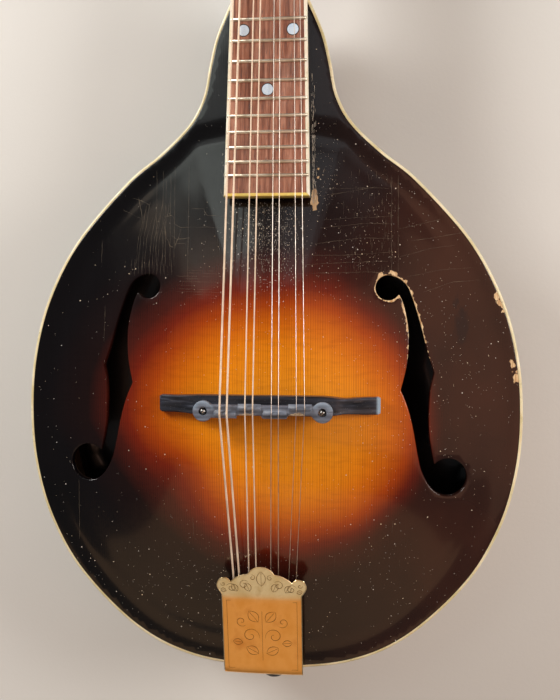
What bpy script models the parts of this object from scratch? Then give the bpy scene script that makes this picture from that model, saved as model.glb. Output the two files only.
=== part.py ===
"""Arch-top mandolin with f-holes, lying on its back, as an assembly of separate pieces.

All dimensions below are millimetres; the scene is in metres. Instrument coordinates have y = 0 at
the bridge, +Y towards the headstock, +X towards the treble side, and z = 0 at the rim of the
soundboard with +Z out of it. The scene's origin is the centre of the bottom of the whole
instrument's box: the crown of the back and the tip of the headstock both touch the plane z = 0.
"""
import math

import bmesh
import bpy
from mathutils import Matrix, Vector

MM = 0.001
GAP = 0.3                      # clearance between pieces that touch along a curve
JOINT = 0.15                   # clearance between flat faces that are glued

# Body
HALF_OUTLINE = [               # from the tail to the neck joint, treble side
    (0.0, -139.0), (39.1, -134.0), (69.7, -119.7), (99.1, -91.0), (115.3, -62.3), (123.2, -33.6),
    (125.2, -5.0), (122.6, 23.8), (114.4, 52.5), (98.7, 81.2), (73.1, 109.9), (55.2, 124.3),
    (40.6, 138.6), (33.4, 152.0), (30.2, 167.3), (26.5, 181.7), (19.4, 198.0)]
OUTLINE_STEPS = 2              # facets between two outline points
RIB_DEPTH = 47.0               # rim of the soundboard to rim of the back
SIDE_THICKNESS = 2.0
BINDING_WIDTH = 1.5
BINDING_DEPTH = 5.0
PLATE_INSET = BINDING_WIDTH + JOINT
TOP_ARCH = 14.0                # height of the soundboard's crown above its rim
ARCH_REACH = 143.0             # the arch has run out this far from the bridge, also under the neck
RECURVE = 0.55                 # depth of the hollow just inside the rim
RIM_LIP = 0.4
PLATE_THICKNESS = 4.4
RIM_THICKNESS = 5.0
TOP_RINGS = (0.28, 0.5, 0.68, 0.8, 0.88, 0.94, 1.0)
BACK_RINGS = (0.35, 0.6, 0.78, 0.9, 1.0)
LINING_WIDTH = 6.0
LINING_HEIGHT = 8.0
LINING_SPAN = (3, 23)          # outline facets that the linings cover
TAIL_BLOCK_SPAN = 2
TAIL_BLOCK_DEPTH = 18.0
HEAD_BLOCK_SPAN = 25
TONE_BAR_FRONT = (30.0, 82.0)
TONE_BAR_BACK = (40.0, -92.0)
TONE_BAR_WIDTH = 6.0
TONE_BAR_HEIGHT = 9.0

# F-holes: the outline is drawn on the treble side between these two eye centres
F_UPPER_EYE = (59.8, 57.6)
F_LOWER_EYE = (91.2, -34.4)
F_UPPER_RADIUS = 6.2
F_LOWER_RADIUS = 9.5
F_STEM = [
    (59.8, 63.7), (64.6, 62.4), (68.6, 59.2), (71.2, 54.2), (75.2, 42.7), (79.4, 27.7), (83.1, 16.8),
    (81.5, 8.6), (81.1, -1.2), (81.7, -14.3), (84.6, -29.1), (90.0, -34.0), (91.2, -43.8),
    (86.3, -42.4), (82.2, -38.7), (78.3, -31.4), (76.0, -22.7), (73.5, -10.5), (70.5, 0.2),
    (67.0, 8.3), (69.4, 19.0), (70.3, 29.5), (69.8, 39.2), (67.4, 49.8), (64.8, 55.1), (61.0, 57.0)]
F_EYES = {                     # where the two holes sit: side, upper eye, lower eye
    "bass": (-1, (60.8, 58.0), (93.4, -32.5)),
    "treble": (1, (58.8, 57.1), (89.0, -36.3))}

# Fingerboard and neck
SCALE_LENGTH = 352.4
FRET_COUNT = 20
FRET_WIDTH = 2.0
FRET_HEIGHT = 1.0
BOARD_LEVEL = 21.8             # the board's top plane, carried on to the bridge
BOARD_SLOPE = math.radians(4.53)
BOARD_THICKNESS = 5.5
BOARD_END = 101.0
BOARD_HALF_AT_END = 20.8
BOARD_HALF_AT_NUT = 15.0
BOARD_BINDING = 1.5
NUT_LENGTH = 5.0
NUT_PROUD = 1.4
RISER_START = 104.0
RISER_END = 178.0
NECK_SECTIONS = [              # y, half width, depth, how far the bottom narrows
    (198.4, 18.3, 46.5, 1.1), (204.0, 18.0, 45.5, 1.1), (210.0, 17.8, 41.0, 1.0),
    (217.0, 17.7, 32.0, 0.85), (226.0, 17.6, 23.5, 0.75), (238.0, 17.4, 18.5, 0.7),
    (262.0, 17.0, 17.0, 0.7), (300.0, 16.1, 16.2, 0.7), (340.0, 15.2, 15.5, 0.7),
    (364.0, 14.8, 15.0, 0.7)]
NECK_FACETS = 12
TRUSS_SLOT = (6.0, 7.4)        # width and depth
TRUSS_START = 207.0
TRUSS_END = 371.0
TRUSS_RADIUS = 2.2

# Headstock, in its own frame: u along it from the nut, w out of its face
HEAD_SLOPE = math.radians(15.5)
HEAD_LENGTH = 136.0
HEAD_HALF_OUTLINE = [
    (15.2, 0.5), (16.6, 7.0), (23.0, 15.0), (30.0, 22.0), (32.4, 34.0), (32.6, 60.0), (34.4, 96.0),
    (36.0, 118.0), (33.6, 128.6), (23.0, 134.4), (0.0, HEAD_LENGTH)]
OVERLAY_THICKNESS = 2.0
HEAD_THICKNESS = 12.0
POST_X = 19.0
POST_U = [32.0, 55.8, 79.6, 103.4]
POST_RADIUS = 2.9
POST_HEIGHT = 12.0
GEAR_RADIUS = 5.3
GEAR_THICKNESS = 3.6
GEAR_LEVEL = -18.3             # middle of the gears and axis of the worms
WORM_OFFSET = 8.2
WORM_RADIUS = 2.5
SHAFT_RADIUS = 1.5
TUNER_PLATE = (12.0, 27.0, 17.0, 116.0, 1.2)
LUG_X = (13.2, 25.8)
BUTTON_START = 37.5
BUTTON_LENGTH = 12.0
BUTTON_HALF_WIDTH = 5.2
BUTTON_HALF_THICKNESS = 3.3
HOLE_CLEARANCE = 0.4

# Bridge
BASE_CENTRE_X = 1.1
BASE_HALF_LENGTH = 54.4
BASE_HALF_WIDTH = 4.8
BASE_TOP = 19.2
BASE_END_THICKNESS = 3.6
BRIDGE_POST_X = (-29.3, 28.0)
BRIDGE_POST_Y = -2.2
BRIDGE_POST_RADIUS = 1.3
BRIDGE_POST_TOP = 26.0
WHEEL_BOTTOM = 20.4
WHEEL_THICKNESS = 1.6
WHEEL_RADIUS = 4.7
SADDLE_BOTTOM = 22.3
SADDLE_SHOULDER = 25.6
SADDLE_TOP = 27.0
EAR_RADIUS = 5.0
SADDLE_HOLE_RADIUS = 2.0
SADDLE_CRESTS = [              # first x, last x, y of the crest under each pair of strings
    (-24.0, -13.0, -3.2), (-12.4, -1.2, -0.6), (-0.6, 11.2, -3.0), (11.8, 23.0, -0.4)]

# Strings, bass to treble
STRING_RADIUS = [0.5, 0.5, 0.33, 0.33, 0.19, 0.19, 0.14, 0.14]
WOUND_RADIUS = 0.25            # thicker strings are wound with bronze
STRING_X_HOOK = [-14.6, -12.0, -8.8, -5.2, 1.4, 5.4, 9.2, 12.8]
STRING_X_BRIDGE = [-20.9, -17.4, -8.7, -5.0, 3.9, 7.3, 15.8, 19.7]
STRING_X_NUT = [-13.4, -10.3, -5.2, -2.1, 2.6, 4.9, 10.3, 12.2]
STRING_CLEARANCE = 0.12
POST_ORDER = [0, 1, 2, 3, 3, 2, 1, 0]

# Tailpiece, in a frame that slopes up from the tail: v towards the bridge, w out of the cover
TAIL_X = -2.3
TAIL_END = -139.2
TAIL_LEVEL = 5.8
TAIL_SLOPE = math.radians(11.2)
COVER_THICKNESS = 0.8
COVER_HALF_WIDTH = 19.9
COVER_HALF_OUTLINE = [         # the crown, from the side up to its peak
    (19.9, 45.0), (21.4, 47.2), (22.3, 49.8), (21.0, 53.0), (17.6, 53.8), (15.3, 51.6), (13.2, 53.6),
    (9.6, 55.6), (6.6, 56.2), (4.6, 58.6), (2.0, 60.0), (0.0, 60.2)]
FLANGE_DEPTH = 3.0
TAIL_BASE_LEVEL = -4.2
TAIL_BASE_THICKNESS = 1.0
TAIL_BASE_HALF_WIDTH = 18.8
TAIL_BASE_START = -1.9
TAIL_BASE_LENGTH = 45.0
TAIL_FLANGE_DEPTH = 44.0
HOOK_V = 15.5
HOOK_TOP = -1.4
END_PIN_Z = -24.0
END_PIN_RADIUS = 4.0
END_PIN_HEAD = [(0.0, 153.0), (3.6, 153.0), (5.6, 151.4), (6.4, 148.6), (5.4, 145.6), (5.0, 143.4),
                (6.2, 142.0), (6.2, 140.6)]
TAIL_SCREWS = [(-11.0, -9.0), (11.0, -9.0), (0.0, -38.0)]


def neck_drop():
    """Height of the front of the headstock at the nut, under the board's top plane."""
    return BOARD_LEVEL - (SCALE_LENGTH + NUT_LENGTH) * math.tan(BOARD_SLOPE) - BOARD_THICKNESS


HEAD_START = (SCALE_LENGTH + NUT_LENGTH + 0.3, neck_drop() + OVERLAY_THICKNESS - 0.6)
HEAD_BACK = OVERLAY_THICKNESS + JOINT + HEAD_THICKNESS
RIM_HEIGHT = HEAD_LENGTH * math.sin(HEAD_SLOPE) + HEAD_BACK * math.cos(HEAD_SLOPE) - HEAD_START[1]
BACK_ARCH = RIM_HEIGHT - RIB_DEPTH
FRONT_Y = HEAD_START[0] + HEAD_LENGTH * math.cos(HEAD_SLOPE)
REAR_Y = -END_PIN_HEAD[0][1]
MIDDLE_Y = (FRONT_Y + REAR_Y) / 2

WOOD_TOP = ("sunburst_spruce", (0.42, 0.15, 0.03), 0.28, 0.0)
WOOD_MAPLE = ("stained_maple", (0.16, 0.05, 0.015), 0.3, 0.0)
WOOD_PALE = ("bare_spruce", (0.62, 0.46, 0.27), 0.7, 0.0)
ROSEWOOD = ("rosewood", (0.33, 0.16, 0.1), 0.45, 0.0)
EBONY = ("ebony", (0.04, 0.045, 0.06), 0.35, 0.0)
CELLULOID = ("cream_celluloid", (0.86, 0.78, 0.55), 0.35, 0.0)
BLACK_LACQUER = ("black_lacquer", (0.015, 0.013, 0.012), 0.25, 0.0)
NICKEL = ("nickel", (0.66, 0.66, 0.64), 0.3, 1.0)
GOLD = ("gold_plate", (0.83, 0.6, 0.32), 0.3, 1.0)
STEEL = ("steel", (0.62, 0.62, 0.62), 0.35, 1.0)
BRONZE = ("bronze", (0.72, 0.52, 0.3), 0.35, 1.0)
BONE = ("bone", (0.85, 0.8, 0.66), 0.4, 0.0)


# ---------------------------------------------------------------- scene and object helpers

def clear_scene():
    for obj in list(bpy.data.objects):
        bpy.data.objects.remove(obj)


def make_collection(name):
    collection = bpy.data.collections.new(name)
    bpy.context.scene.collection.children.link(collection)
    return collection


def make_material(spec):
    """The Principled material of one spec: name, colour, roughness, metallic."""
    name, colour, roughness, metallic = spec
    if name in bpy.data.materials:
        return bpy.data.materials[name]
    material = bpy.data.materials.new(name)
    material.use_nodes = True
    shader = material.node_tree.nodes["Principled BSDF"]
    shader.inputs["Base Color"].default_value = (*colour, 1.0)
    shader.inputs["Roughness"].default_value = roughness
    shader.inputs["Metallic"].default_value = metallic
    material.diffuse_color = (*colour, 1.0)
    return material


def instrument(x, y, z):
    """Instrument coordinates in millimetres to the scene's metres."""
    return Vector((x, y - MIDDLE_Y, z + RIM_HEIGHT)) * MM


def local(x, y, z):
    return Vector((x, y, z)) * MM


def make_frame(name, y, z, x=0.0, slope=0.0):
    """An empty that carries the pieces laid out in a sloping frame."""
    frame = bpy.data.objects.new(name, None)
    frame.location = instrument(x, y, z)
    frame.rotation_euler = (slope, 0.0, 0.0)
    PARTS.objects.link(frame)
    return frame


def make_object(name, mesh, spec, frame=None, cutter=False):
    obj = bpy.data.objects.new(name, mesh)
    obj.parent = frame
    if cutter:
        CUTTERS.objects.link(obj)
        obj.hide_render = True
        obj.display_type = "WIRE"
    else:
        PARTS.objects.link(obj)
        mesh.materials.append(make_material(spec))
    return obj


def mesh_from(bm, name):
    bmesh.ops.recalc_face_normals(bm, faces=bm.faces[:])
    mesh = bpy.data.meshes.new(name)
    bm.to_mesh(mesh)
    bm.free()
    return mesh


def round_off(obj, angle=40.0):
    obj.data.shade_smooth()
    obj.data.set_sharp_from_angle(angle=math.radians(angle))


def combine(target, tool, operation="DIFFERENCE"):
    modifier = target.modifiers.new(tool.name, "BOOLEAN")
    modifier.object = tool
    modifier.operation = operation
    modifier.solver = "EXACT"


def bevel(obj, width, segments=2):
    modifier = obj.modifiers.new("rounding", "BEVEL")
    modifier.width = width * MM
    modifier.segments = segments
    modifier.limit_method = "ANGLE"


def add_box(bm, low, high, to_scene=local):
    """A box between two corners, added to a bmesh."""
    low = to_scene(*low)
    high = to_scene(*high)
    matrix = Matrix.Translation((low + high) / 2) @ Matrix.Diagonal((*(high - low), 1.0))
    bmesh.ops.create_cube(bm, size=1.0, matrix=matrix)


def add_rod(bm, start, end, radius, segments=16, to_scene=local):
    """A cylinder between two points, added to a bmesh."""
    start = to_scene(*start)
    end = to_scene(*end)
    along = end - start
    turn = along.to_track_quat("Z", "Y").to_matrix().to_4x4()
    matrix = Matrix.Translation((start + end) / 2) @ turn
    bmesh.ops.create_cone(bm, cap_ends=True, segments=segments, radius1=radius * MM, radius2=radius * MM,
                          depth=along.length, matrix=matrix)


def boxes(name, corners, spec, frame=None, to_scene=local, cutter=False):
    bm = bmesh.new()
    for low, high in corners:
        add_box(bm, low, high, to_scene)
    return make_object(name, mesh_from(bm, name), spec, frame, cutter)


def rods(name, runs, radius, spec, frame=None, to_scene=local, cutter=False, segments=16):
    bm = bmesh.new()
    for start, end in runs:
        add_rod(bm, start, end, radius, segments, to_scene)
    return make_object(name, mesh_from(bm, name), spec, frame, cutter)


def flat_piece(name, points, low, high, spec, frame=None, cutter=False):
    """A flat outline in the frame's own plane, extruded from low to high."""
    curve = bpy.data.curves.new(name, "CURVE")
    curve.dimensions = "2D"
    curve.fill_mode = "BOTH"
    curve.extrude = (high - low) / 2 * MM
    spline = curve.splines.new("POLY")
    spline.points.add(len(points) - 1)
    for point, (x, y) in zip(spline.points, points):
        point.co = (x * MM, y * MM, 0.0, 1.0)
    spline.use_cyclic_u = True
    guide = bpy.data.objects.new(name + "_outline", curve)
    guide.location = (0.0, 0.0, (low + high) / 2 * MM)
    PARTS.objects.link(guide)
    bpy.context.view_layer.update()
    evaluated = guide.evaluated_get(bpy.context.evaluated_depsgraph_get())
    bm = bmesh.new()
    bm.from_mesh(bpy.data.meshes.new_from_object(evaluated))
    bmesh.ops.transform(bm, matrix=guide.matrix_world, verts=bm.verts)
    bmesh.ops.remove_doubles(bm, verts=bm.verts, dist=1e-6)
    bpy.data.objects.remove(guide)
    return make_object(name, mesh_from(bm, name), spec, frame, cutter)


def turned(name, profile, spec, frame=None, steps=14):
    """A profile of (radius, height) points from the top of the axis to its foot, turned about Z."""
    mesh = bpy.data.meshes.new(name)
    points = [(radius * MM, 0.0, height * MM) for radius, height in profile]
    mesh.from_pydata(points, [(i, i + 1) for i in range(len(points) - 1)], [])
    obj = make_object(name, mesh, spec, frame)
    screw = obj.modifiers.new("turning", "SCREW")
    screw.steps = steps
    screw.render_steps = steps
    screw.use_merge_vertices = True
    screw.merge_threshold = 1e-6
    return obj


def tube(name, points, radius, spec):
    """A wire through points given in scene metres."""
    curve = bpy.data.curves.new(name, "CURVE")
    curve.dimensions = "3D"
    curve.bevel_depth = radius * MM
    curve.bevel_resolution = 1
    curve.use_fill_caps = True
    spline = curve.splines.new("POLY")
    spline.points.add(len(points) - 1)
    for target, point in zip(spline.points, points):
        target.co = (*point, 1.0)
    curve.materials.append(make_material(spec))
    obj = bpy.data.objects.new(name, curve)
    PARTS.objects.link(obj)
    return obj


def loft(name, sections, spec, frame=None, cutter=False):
    """Closed skin over sections that have the same number of points, capped at both ends."""
    bm = bmesh.new()
    rings = [[bm.verts.new(point) for point in section] for section in sections]
    count = len(rings[0])
    for first, second in zip(rings, rings[1:]):
        for i in range(count):
            j = (i + 1) % count
            bm.faces.new((first[i], first[j], second[j], second[i]))
    bm.faces.new(rings[0])
    bm.faces.new(rings[-1])
    return make_object(name, mesh_from(bm, name), spec, frame, cutter)


# ---------------------------------------------------------------- outlines

def smooth_curve(points, steps):
    """Points of a Catmull-Rom curve through the given points, which it includes."""
    padded = [points[0], *points, points[-1]]
    result = []
    for a, b, c, d in zip(padded, padded[1:], padded[2:], padded[3:]):
        for k in range(steps):
            t = k / steps
            result.append(tuple(
                0.5 * (2 * q + (r - p) * t + (2 * p - 5 * q + 4 * r - s) * t ** 2
                       + (3 * q - p - 3 * r + s) * t ** 3)
                for p, q, r, s in zip(a, b, c, d)))
    result.append(points[-1])
    return result


def mirrored(points):
    """A half outline that starts and ends at x = 0 or away from it, made whole."""
    other = [(-x, y) for x, y in reversed(points) if abs(x) > 1e-6]
    return list(points) + other


def body_half(inset):
    """The treble half of the body's outline, moved inwards, from the tail to the neck joint."""
    curve = smooth_curve(HALF_OUTLINE, OUTLINE_STEPS)
    result = []
    for i, (x, y) in enumerate(curve):
        before = curve[max(i - 1, 0)]
        after = curve[min(i + 1, len(curve) - 1)]
        along = Vector((after[0] - before[0], after[1] - before[1])).normalized()
        if i == 0:
            along = Vector((1.0, 0.0))
        moved = Vector((x, y)) + Vector((-along.y, along.x)) * inset
        if i == len(curve) - 1:
            moved += along * (y - moved.y) / along.y
        result.append((moved.x, moved.y))
    return result


def body_rim(inset):
    """The whole outline, from the middle of the tail round the treble side and back."""
    half = body_half(inset)
    return half + [(-x, y) for x, y in reversed(half[1:])]


# ---------------------------------------------------------------- arching

def arch_height(fraction, crown):
    """Height of a carved plate at a fraction of the way from its crown to its rim."""
    return crown * (1 + math.cos(math.pi * min(fraction, 1.0) ** 1.25)) / 2


def top_height(x, y, rim_radius):
    """Outer surface of the soundboard on the ray that leaves the rim at rim_radius."""
    fraction = min(math.hypot(x, y) / min(rim_radius, ARCH_REACH), 1.0)
    hollow = RECURVE * math.exp(-((fraction - 0.93) / 0.045) ** 2)
    return arch_height(fraction, TOP_ARCH) + RIM_LIP * fraction ** 8 - hollow


def arched_plate(name, rim, rings, outer, inner, spec):
    """A carved plate on a net of rings round the bridge; outer and inner give its two surfaces."""
    bm = bmesh.new()
    layers = []
    for surface in (outer, inner):
        centre = bm.verts.new(instrument(0.0, 0.0, surface(0.0, 0.0, 1.0, 0.0)))
        nets = []
        for ring in rings:
            row = []
            for x, y in rim:
                height = surface(x * ring, y * ring, math.hypot(x, y), ring)
                row.append(bm.verts.new(instrument(x * ring, y * ring, height)))
            nets.append(row)
        layers.append((centre, nets))
    count = len(rim)
    for centre, nets in layers:
        for i in range(count):
            bm.faces.new((centre, nets[0][i], nets[0][(i + 1) % count]))
        for low, high in zip(nets, nets[1:]):
            for i in range(count):
                j = (i + 1) % count
                bm.faces.new((low[i], low[j], high[j], high[i]))
    outside = layers[0][1][-1]
    inside = layers[1][1][-1]
    for i in range(count):
        j = (i + 1) % count
        bm.faces.new((outside[i], outside[j], inside[j], inside[i]))
    return make_object(name, mesh_from(bm, name), spec)


# ---------------------------------------------------------------- body

def f_outline(side, upper, lower):
    """The stem of one f-hole, carried from its drawn place onto the eyes of this side."""
    drawn = complex(*F_LOWER_EYE) - complex(*F_UPPER_EYE)
    turn = (complex(*lower) - complex(*upper)) / drawn
    moved = [(complex(x, y) - complex(*F_UPPER_EYE)) * turn + complex(*upper) for x, y in F_STEM]
    return [(side * point.real, point.imag) for point in moved]


def make_soundboard():
    rim = body_rim(PLATE_INSET)

    def inner(x, y, rim_radius, ring):
        if ring > 0.9:
            return -RIM_THICKNESS
        fraction = math.hypot(x, y) / min(rim_radius, ARCH_REACH)
        return max(arch_height(fraction, TOP_ARCH) - PLATE_THICKNESS, -RIM_THICKNESS)

    def outer(x, y, rim_radius, ring):
        return top_height(x, y, rim_radius)

    board = arched_plate("soundboard", rim, TOP_RINGS, outer, inner, WOOD_TOP)
    round_off(board)
    low, high = 30.0, 110.0
    for label, (side, upper, lower) in F_EYES.items():
        stem = flat_piece("f_stem_" + label, f_outline(side, upper, lower), low, high, None, cutter=True)
        stem.location = (0.0, -MIDDLE_Y * MM, 0.0)
        combine(board, stem)
        for end, (x, y), radius in (("upper", upper, F_UPPER_RADIUS), ("lower", lower, F_LOWER_RADIUS)):
            run = ((side * x, y, low - RIM_HEIGHT), (side * x, y, high - RIM_HEIGHT))
            eye = rods("f_eye_" + end + "_" + label, [run], radius, None, to_scene=instrument,
                       cutter=True, segments=24)
            combine(board, eye)
    return board


def make_back():
    rim = body_rim(PLATE_INSET)

    def outer(x, y, rim_radius, ring):
        fraction = math.hypot(x, y) / min(rim_radius, ARCH_REACH)
        return -RIB_DEPTH - arch_height(fraction, BACK_ARCH)

    def inner(x, y, rim_radius, ring):
        if ring > 0.85:
            return -RIB_DEPTH + RIM_THICKNESS
        return min(outer(x, y, rim_radius, ring) + PLATE_THICKNESS, -RIB_DEPTH + RIM_THICKNESS)

    round_off(arched_plate("back_plate", rim, BACK_RINGS, outer, inner, WOOD_MAPLE))


def rim_strip(name, side, insets, levels, spec, span=(0, -1), middle_gap=JOINT):
    """A strip that follows one half of the body's outline between two insets and two heights."""
    outer = body_half(insets[0])[span[0]:span[1] if span[1] > 0 else None]
    inner = body_half(insets[1])[span[0]:span[1] if span[1] > 0 else None]
    sections = []
    for (ox, oy), (ix, iy) in zip(outer, inner):
        corners = [(ox, oy, levels[0]), (ix, iy, levels[0]), (ix, iy, levels[1]), (ox, oy, levels[1])]
        sections.append([instrument(side * max(x, middle_gap), y, z) for x, y, z in corners])
    return loft(name, sections, spec)


def make_binding(name, low, high):
    """One ring of binding, open where the neck joins the body."""
    outer = body_half(0.0)
    inner = body_half(BINDING_WIDTH)
    sections = []
    for side, order in ((-1, range(len(outer) - 1, 0, -1)), (1, range(len(outer)))):
        for i in order:
            corners = [(*outer[i], low), (*inner[i], low), (*inner[i], high), (*outer[i], high)]
            sections.append([instrument(side * x, y, z) for x, y, z in corners])
    return loft(name, sections, CELLULOID)


def make_sides():
    top = -BINDING_DEPTH - JOINT
    bottom = -RIB_DEPTH + BINDING_DEPTH + JOINT
    pin_hole = rods("end_pin_hole", [((0.0, -145.0, END_PIN_Z), (0.0, -110.0, END_PIN_Z))],
                    END_PIN_RADIUS + HOLE_CLEARANCE, None, to_scene=instrument, cutter=True)
    inside = SIDE_THICKNESS + JOINT
    for side, label in ((-1, "bass"), (1, "treble")):
        rib = rim_strip("side_" + label, side, (0.0, SIDE_THICKNESS), (bottom, top), WOOD_MAPLE)
        combine(rib, pin_hole)
        rim_strip("top_lining_" + label, side, (inside, inside + LINING_WIDTH), (top - LINING_HEIGHT, top),
                  WOOD_PALE, LINING_SPAN)
        rim_strip("back_lining_" + label, side, (inside, inside + LINING_WIDTH),
                  (bottom, bottom + LINING_HEIGHT), WOOD_PALE, LINING_SPAN)
    half = body_half(inside)
    tail = half[:TAIL_BLOCK_SPAN + 1]
    front = tail[0][1] + TAIL_BLOCK_DEPTH
    outline = mirrored([*tail, (tail[-1][0], front)])
    levels = (RIM_HEIGHT + bottom, RIM_HEIGHT + top)
    block = flat_piece("tail_block", outline, *levels, WOOD_PALE)
    block.location = (0.0, -MIDDLE_Y * MM, 0.0)
    combine(block, pin_hole)
    block = flat_piece("head_block", mirrored(half[HEAD_BLOCK_SPAN:]), *levels, WOOD_PALE)
    block.location = (0.0, -MIDDLE_Y * MM, 0.0)
    make_binding("top_binding", -BINDING_DEPTH, RIM_LIP)
    make_binding("back_binding", -RIB_DEPTH, -RIB_DEPTH + BINDING_DEPTH)
    return pin_hole


def make_tone_bars():
    stations = 9
    under = PLATE_THICKNESS + 3 * GAP
    for side, label in ((-1, "bass"), (1, "treble")):
        sections = []
        for k in range(stations):
            t = k / (stations - 1)
            x = TONE_BAR_FRONT[0] + (TONE_BAR_BACK[0] - TONE_BAR_FRONT[0]) * t
            y = TONE_BAR_FRONT[1] + (TONE_BAR_BACK[1] - TONE_BAR_FRONT[1]) * t
            reach = ray_to_rim(x, y)
            top = arch_height(math.hypot(x, y) / reach, TOP_ARCH) - under
            foot = top - 1.5 - (TONE_BAR_HEIGHT - 1.5) * math.sin(math.pi * t) ** 0.7
            wide = TONE_BAR_WIDTH / 2
            corners = [(x - wide, foot), (x + wide, foot), (x + wide, top), (x - wide, top)]
            sections.append([instrument(side * px, y, pz) for px, pz in corners])
        loft("tone_bar_" + label, sections, WOOD_PALE)


def ray_to_rim(x, y):
    """Distance from the bridge to the rim in the direction of a point, at most the arch's reach."""
    rim = body_half(PLATE_INSET)
    aim = math.atan2(x, y)
    nearest = min(rim, key=lambda point: abs(math.atan2(point[0], point[1]) - aim))
    return min(math.hypot(*nearest), ARCH_REACH)


# ---------------------------------------------------------------- neck and fingerboard

def board_half(y):
    """Half the fingerboard's width with its binding, at a distance from the bridge."""
    share = (y - BOARD_END) / (SCALE_LENGTH - BOARD_END)
    return BOARD_HALF_AT_END + (BOARD_HALF_AT_NUT - BOARD_HALF_AT_END) * share


def along_board(y):
    """The distance along the sloping board that lies over a level distance y."""
    return y / math.cos(BOARD_SLOPE)


def board_underside(y):
    return BOARD_LEVEL - y * math.tan(BOARD_SLOPE) - BOARD_THICKNESS / math.cos(BOARD_SLOPE)


def make_fingerboard(frame):
    end = along_board(BOARD_END)
    nut = along_board(SCALE_LENGTH)
    wood = BOARD_BINDING + JOINT
    wide = board_half(BOARD_END) - wood
    narrow = board_half(SCALE_LENGTH) - wood
    outline = [(-wide, end + wood), (wide, end + wood), (narrow, nut - JOINT), (-narrow, nut - JOINT)]
    board = flat_piece("fingerboard", outline, -BOARD_THICKNESS, 0.0, ROSEWOOD, frame)
    frets = []
    for n in range(1, FRET_COUNT + 1):
        y = SCALE_LENGTH * 2 ** (-n / 12)
        half = board_half(y) - wood - 0.1
        middle = along_board(y)
        frets.append(((-half, middle - FRET_WIDTH / 2, -0.6), (half, middle + FRET_WIDTH / 2, FRET_HEIGHT)))
    combine(board, boxes("frets", frets, None, frame, cutter=True), "UNION")
    outer = board_half(BOARD_END)
    inner = outer - BOARD_BINDING
    thin = board_half(SCALE_LENGTH)
    trim = [(-thin, nut - JOINT), (-outer, end), (outer, end), (thin, nut - JOINT),
            (thin - BOARD_BINDING, nut - JOINT), (inner, end + BOARD_BINDING),
            (-inner, end + BOARD_BINDING), (BOARD_BINDING - thin, nut - JOINT)]
    flat_piece("fingerboard_binding", trim, -BOARD_THICKNESS, 0.2, CELLULOID, frame)
    half = BOARD_HALF_AT_NUT - 0.3
    nut_box = ((-half, nut, -BOARD_THICKNESS + JOINT), (half, nut + NUT_LENGTH, NUT_PROUD))
    bevel(boxes("nut", [nut_box], BONE, frame), 0.5, 2)


def make_riser():
    """The wedge that carries the end of the fingerboard over the falling arch."""
    sections = []
    stations = 8
    for k in range(stations):
        y = RISER_START + (RISER_END - RISER_START) * k / (stations - 1)
        half = board_half(y) - 2.0
        ceiling = board_underside(y) - JOINT
        floor = min(arch_height(y / ARCH_REACH, TOP_ARCH) + 0.9, ceiling - 0.8)
        corners = [(-half, floor), (half, floor), (half, ceiling), (-half, ceiling)]
        sections.append([instrument(x, y, z) for x, z in corners])
    loft("extension_riser", sections, BLACK_LACQUER)


def make_neck(board_frame, head_frame):
    """Heel, shaft and headstock core in one piece, with the truss rod's slot and eight post holes."""
    sections = []
    for y, half, depth, narrowing in NECK_SECTIONS:
        top = board_underside(y) - JOINT
        if y > HEAD_START[0]:
            top = HEAD_START[1] - (y - HEAD_START[0]) * math.tan(HEAD_SLOPE) - OVERLAY_THICKNESS - 1.0
        ring = []
        for k in range(NECK_FACETS + 1):
            angle = math.pi * k / NECK_FACETS
            across = math.copysign(abs(math.cos(angle)) ** narrowing, math.cos(angle))
            ring.append(instrument(half * across, y, top - depth * math.sin(angle)))
        sections.append(ring)
    neck = loft("neck", sections, WOOD_MAPLE)
    head = smooth_curve(HEAD_HALF_OUTLINE, 2)
    back = -OVERLAY_THICKNESS - JOINT
    core = flat_piece("headstock_core", mirrored(head), -HEAD_BACK, back, None, head_frame, cutter=True)
    combine(neck, core, "UNION")
    width, depth = TRUSS_SLOT
    slot = boxes("truss_slot", [((-width / 2, along_board(TRUSS_START), -BOARD_THICKNESS - depth),
                                 (width / 2, along_board(TRUSS_END), 1.0))], None, board_frame, cutter=True)
    combine(neck, slot)
    holes = post_holes(head_frame)
    combine(neck, holes)
    overlay = flat_piece("headstock_overlay", mirrored(head), -OVERLAY_THICKNESS, 0.0, BLACK_LACQUER,
                         head_frame)
    pocket = boxes("truss_pocket", [((-3.6, 4.0, -4.0), (3.6, 21.0, 2.0))], None, head_frame, cutter=True)
    combine(overlay, pocket)
    combine(overlay, holes)
    centre = -BOARD_THICKNESS - depth + TRUSS_RADIUS + GAP
    run = ((0.0, along_board(TRUSS_START + 2), centre), (0.0, along_board(TRUSS_END - 3), centre))
    rods("truss_rod", [run], TRUSS_RADIUS, STEEL, board_frame, segments=10)
    plate = smooth_curve([(0.0, 1.2), (7.6, 2.4), (8.4, 9.0), (5.0, 18.0), (4.4, 24.0), (0.0, 29.0)], 2)
    flat_piece("truss_rod_cover", mirrored(plate), JOINT, 1.6, BLACK_LACQUER, head_frame)
    return holes


# ---------------------------------------------------------------- tuners

def post_places():
    """Side and distance from the nut of each post, in the order of the strings."""
    return [(-1 if n < 4 else 1, POST_U[POST_ORDER[n]]) for n in range(8)]


def post_holes(frame):
    runs = [((side * POST_X, u, -30.0), (side * POST_X, u, 5.0)) for side, u in post_places()]
    return rods("post_holes", runs, POST_RADIUS + HOLE_CLEARANCE, None, frame, cutter=True, segments=12)


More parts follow.
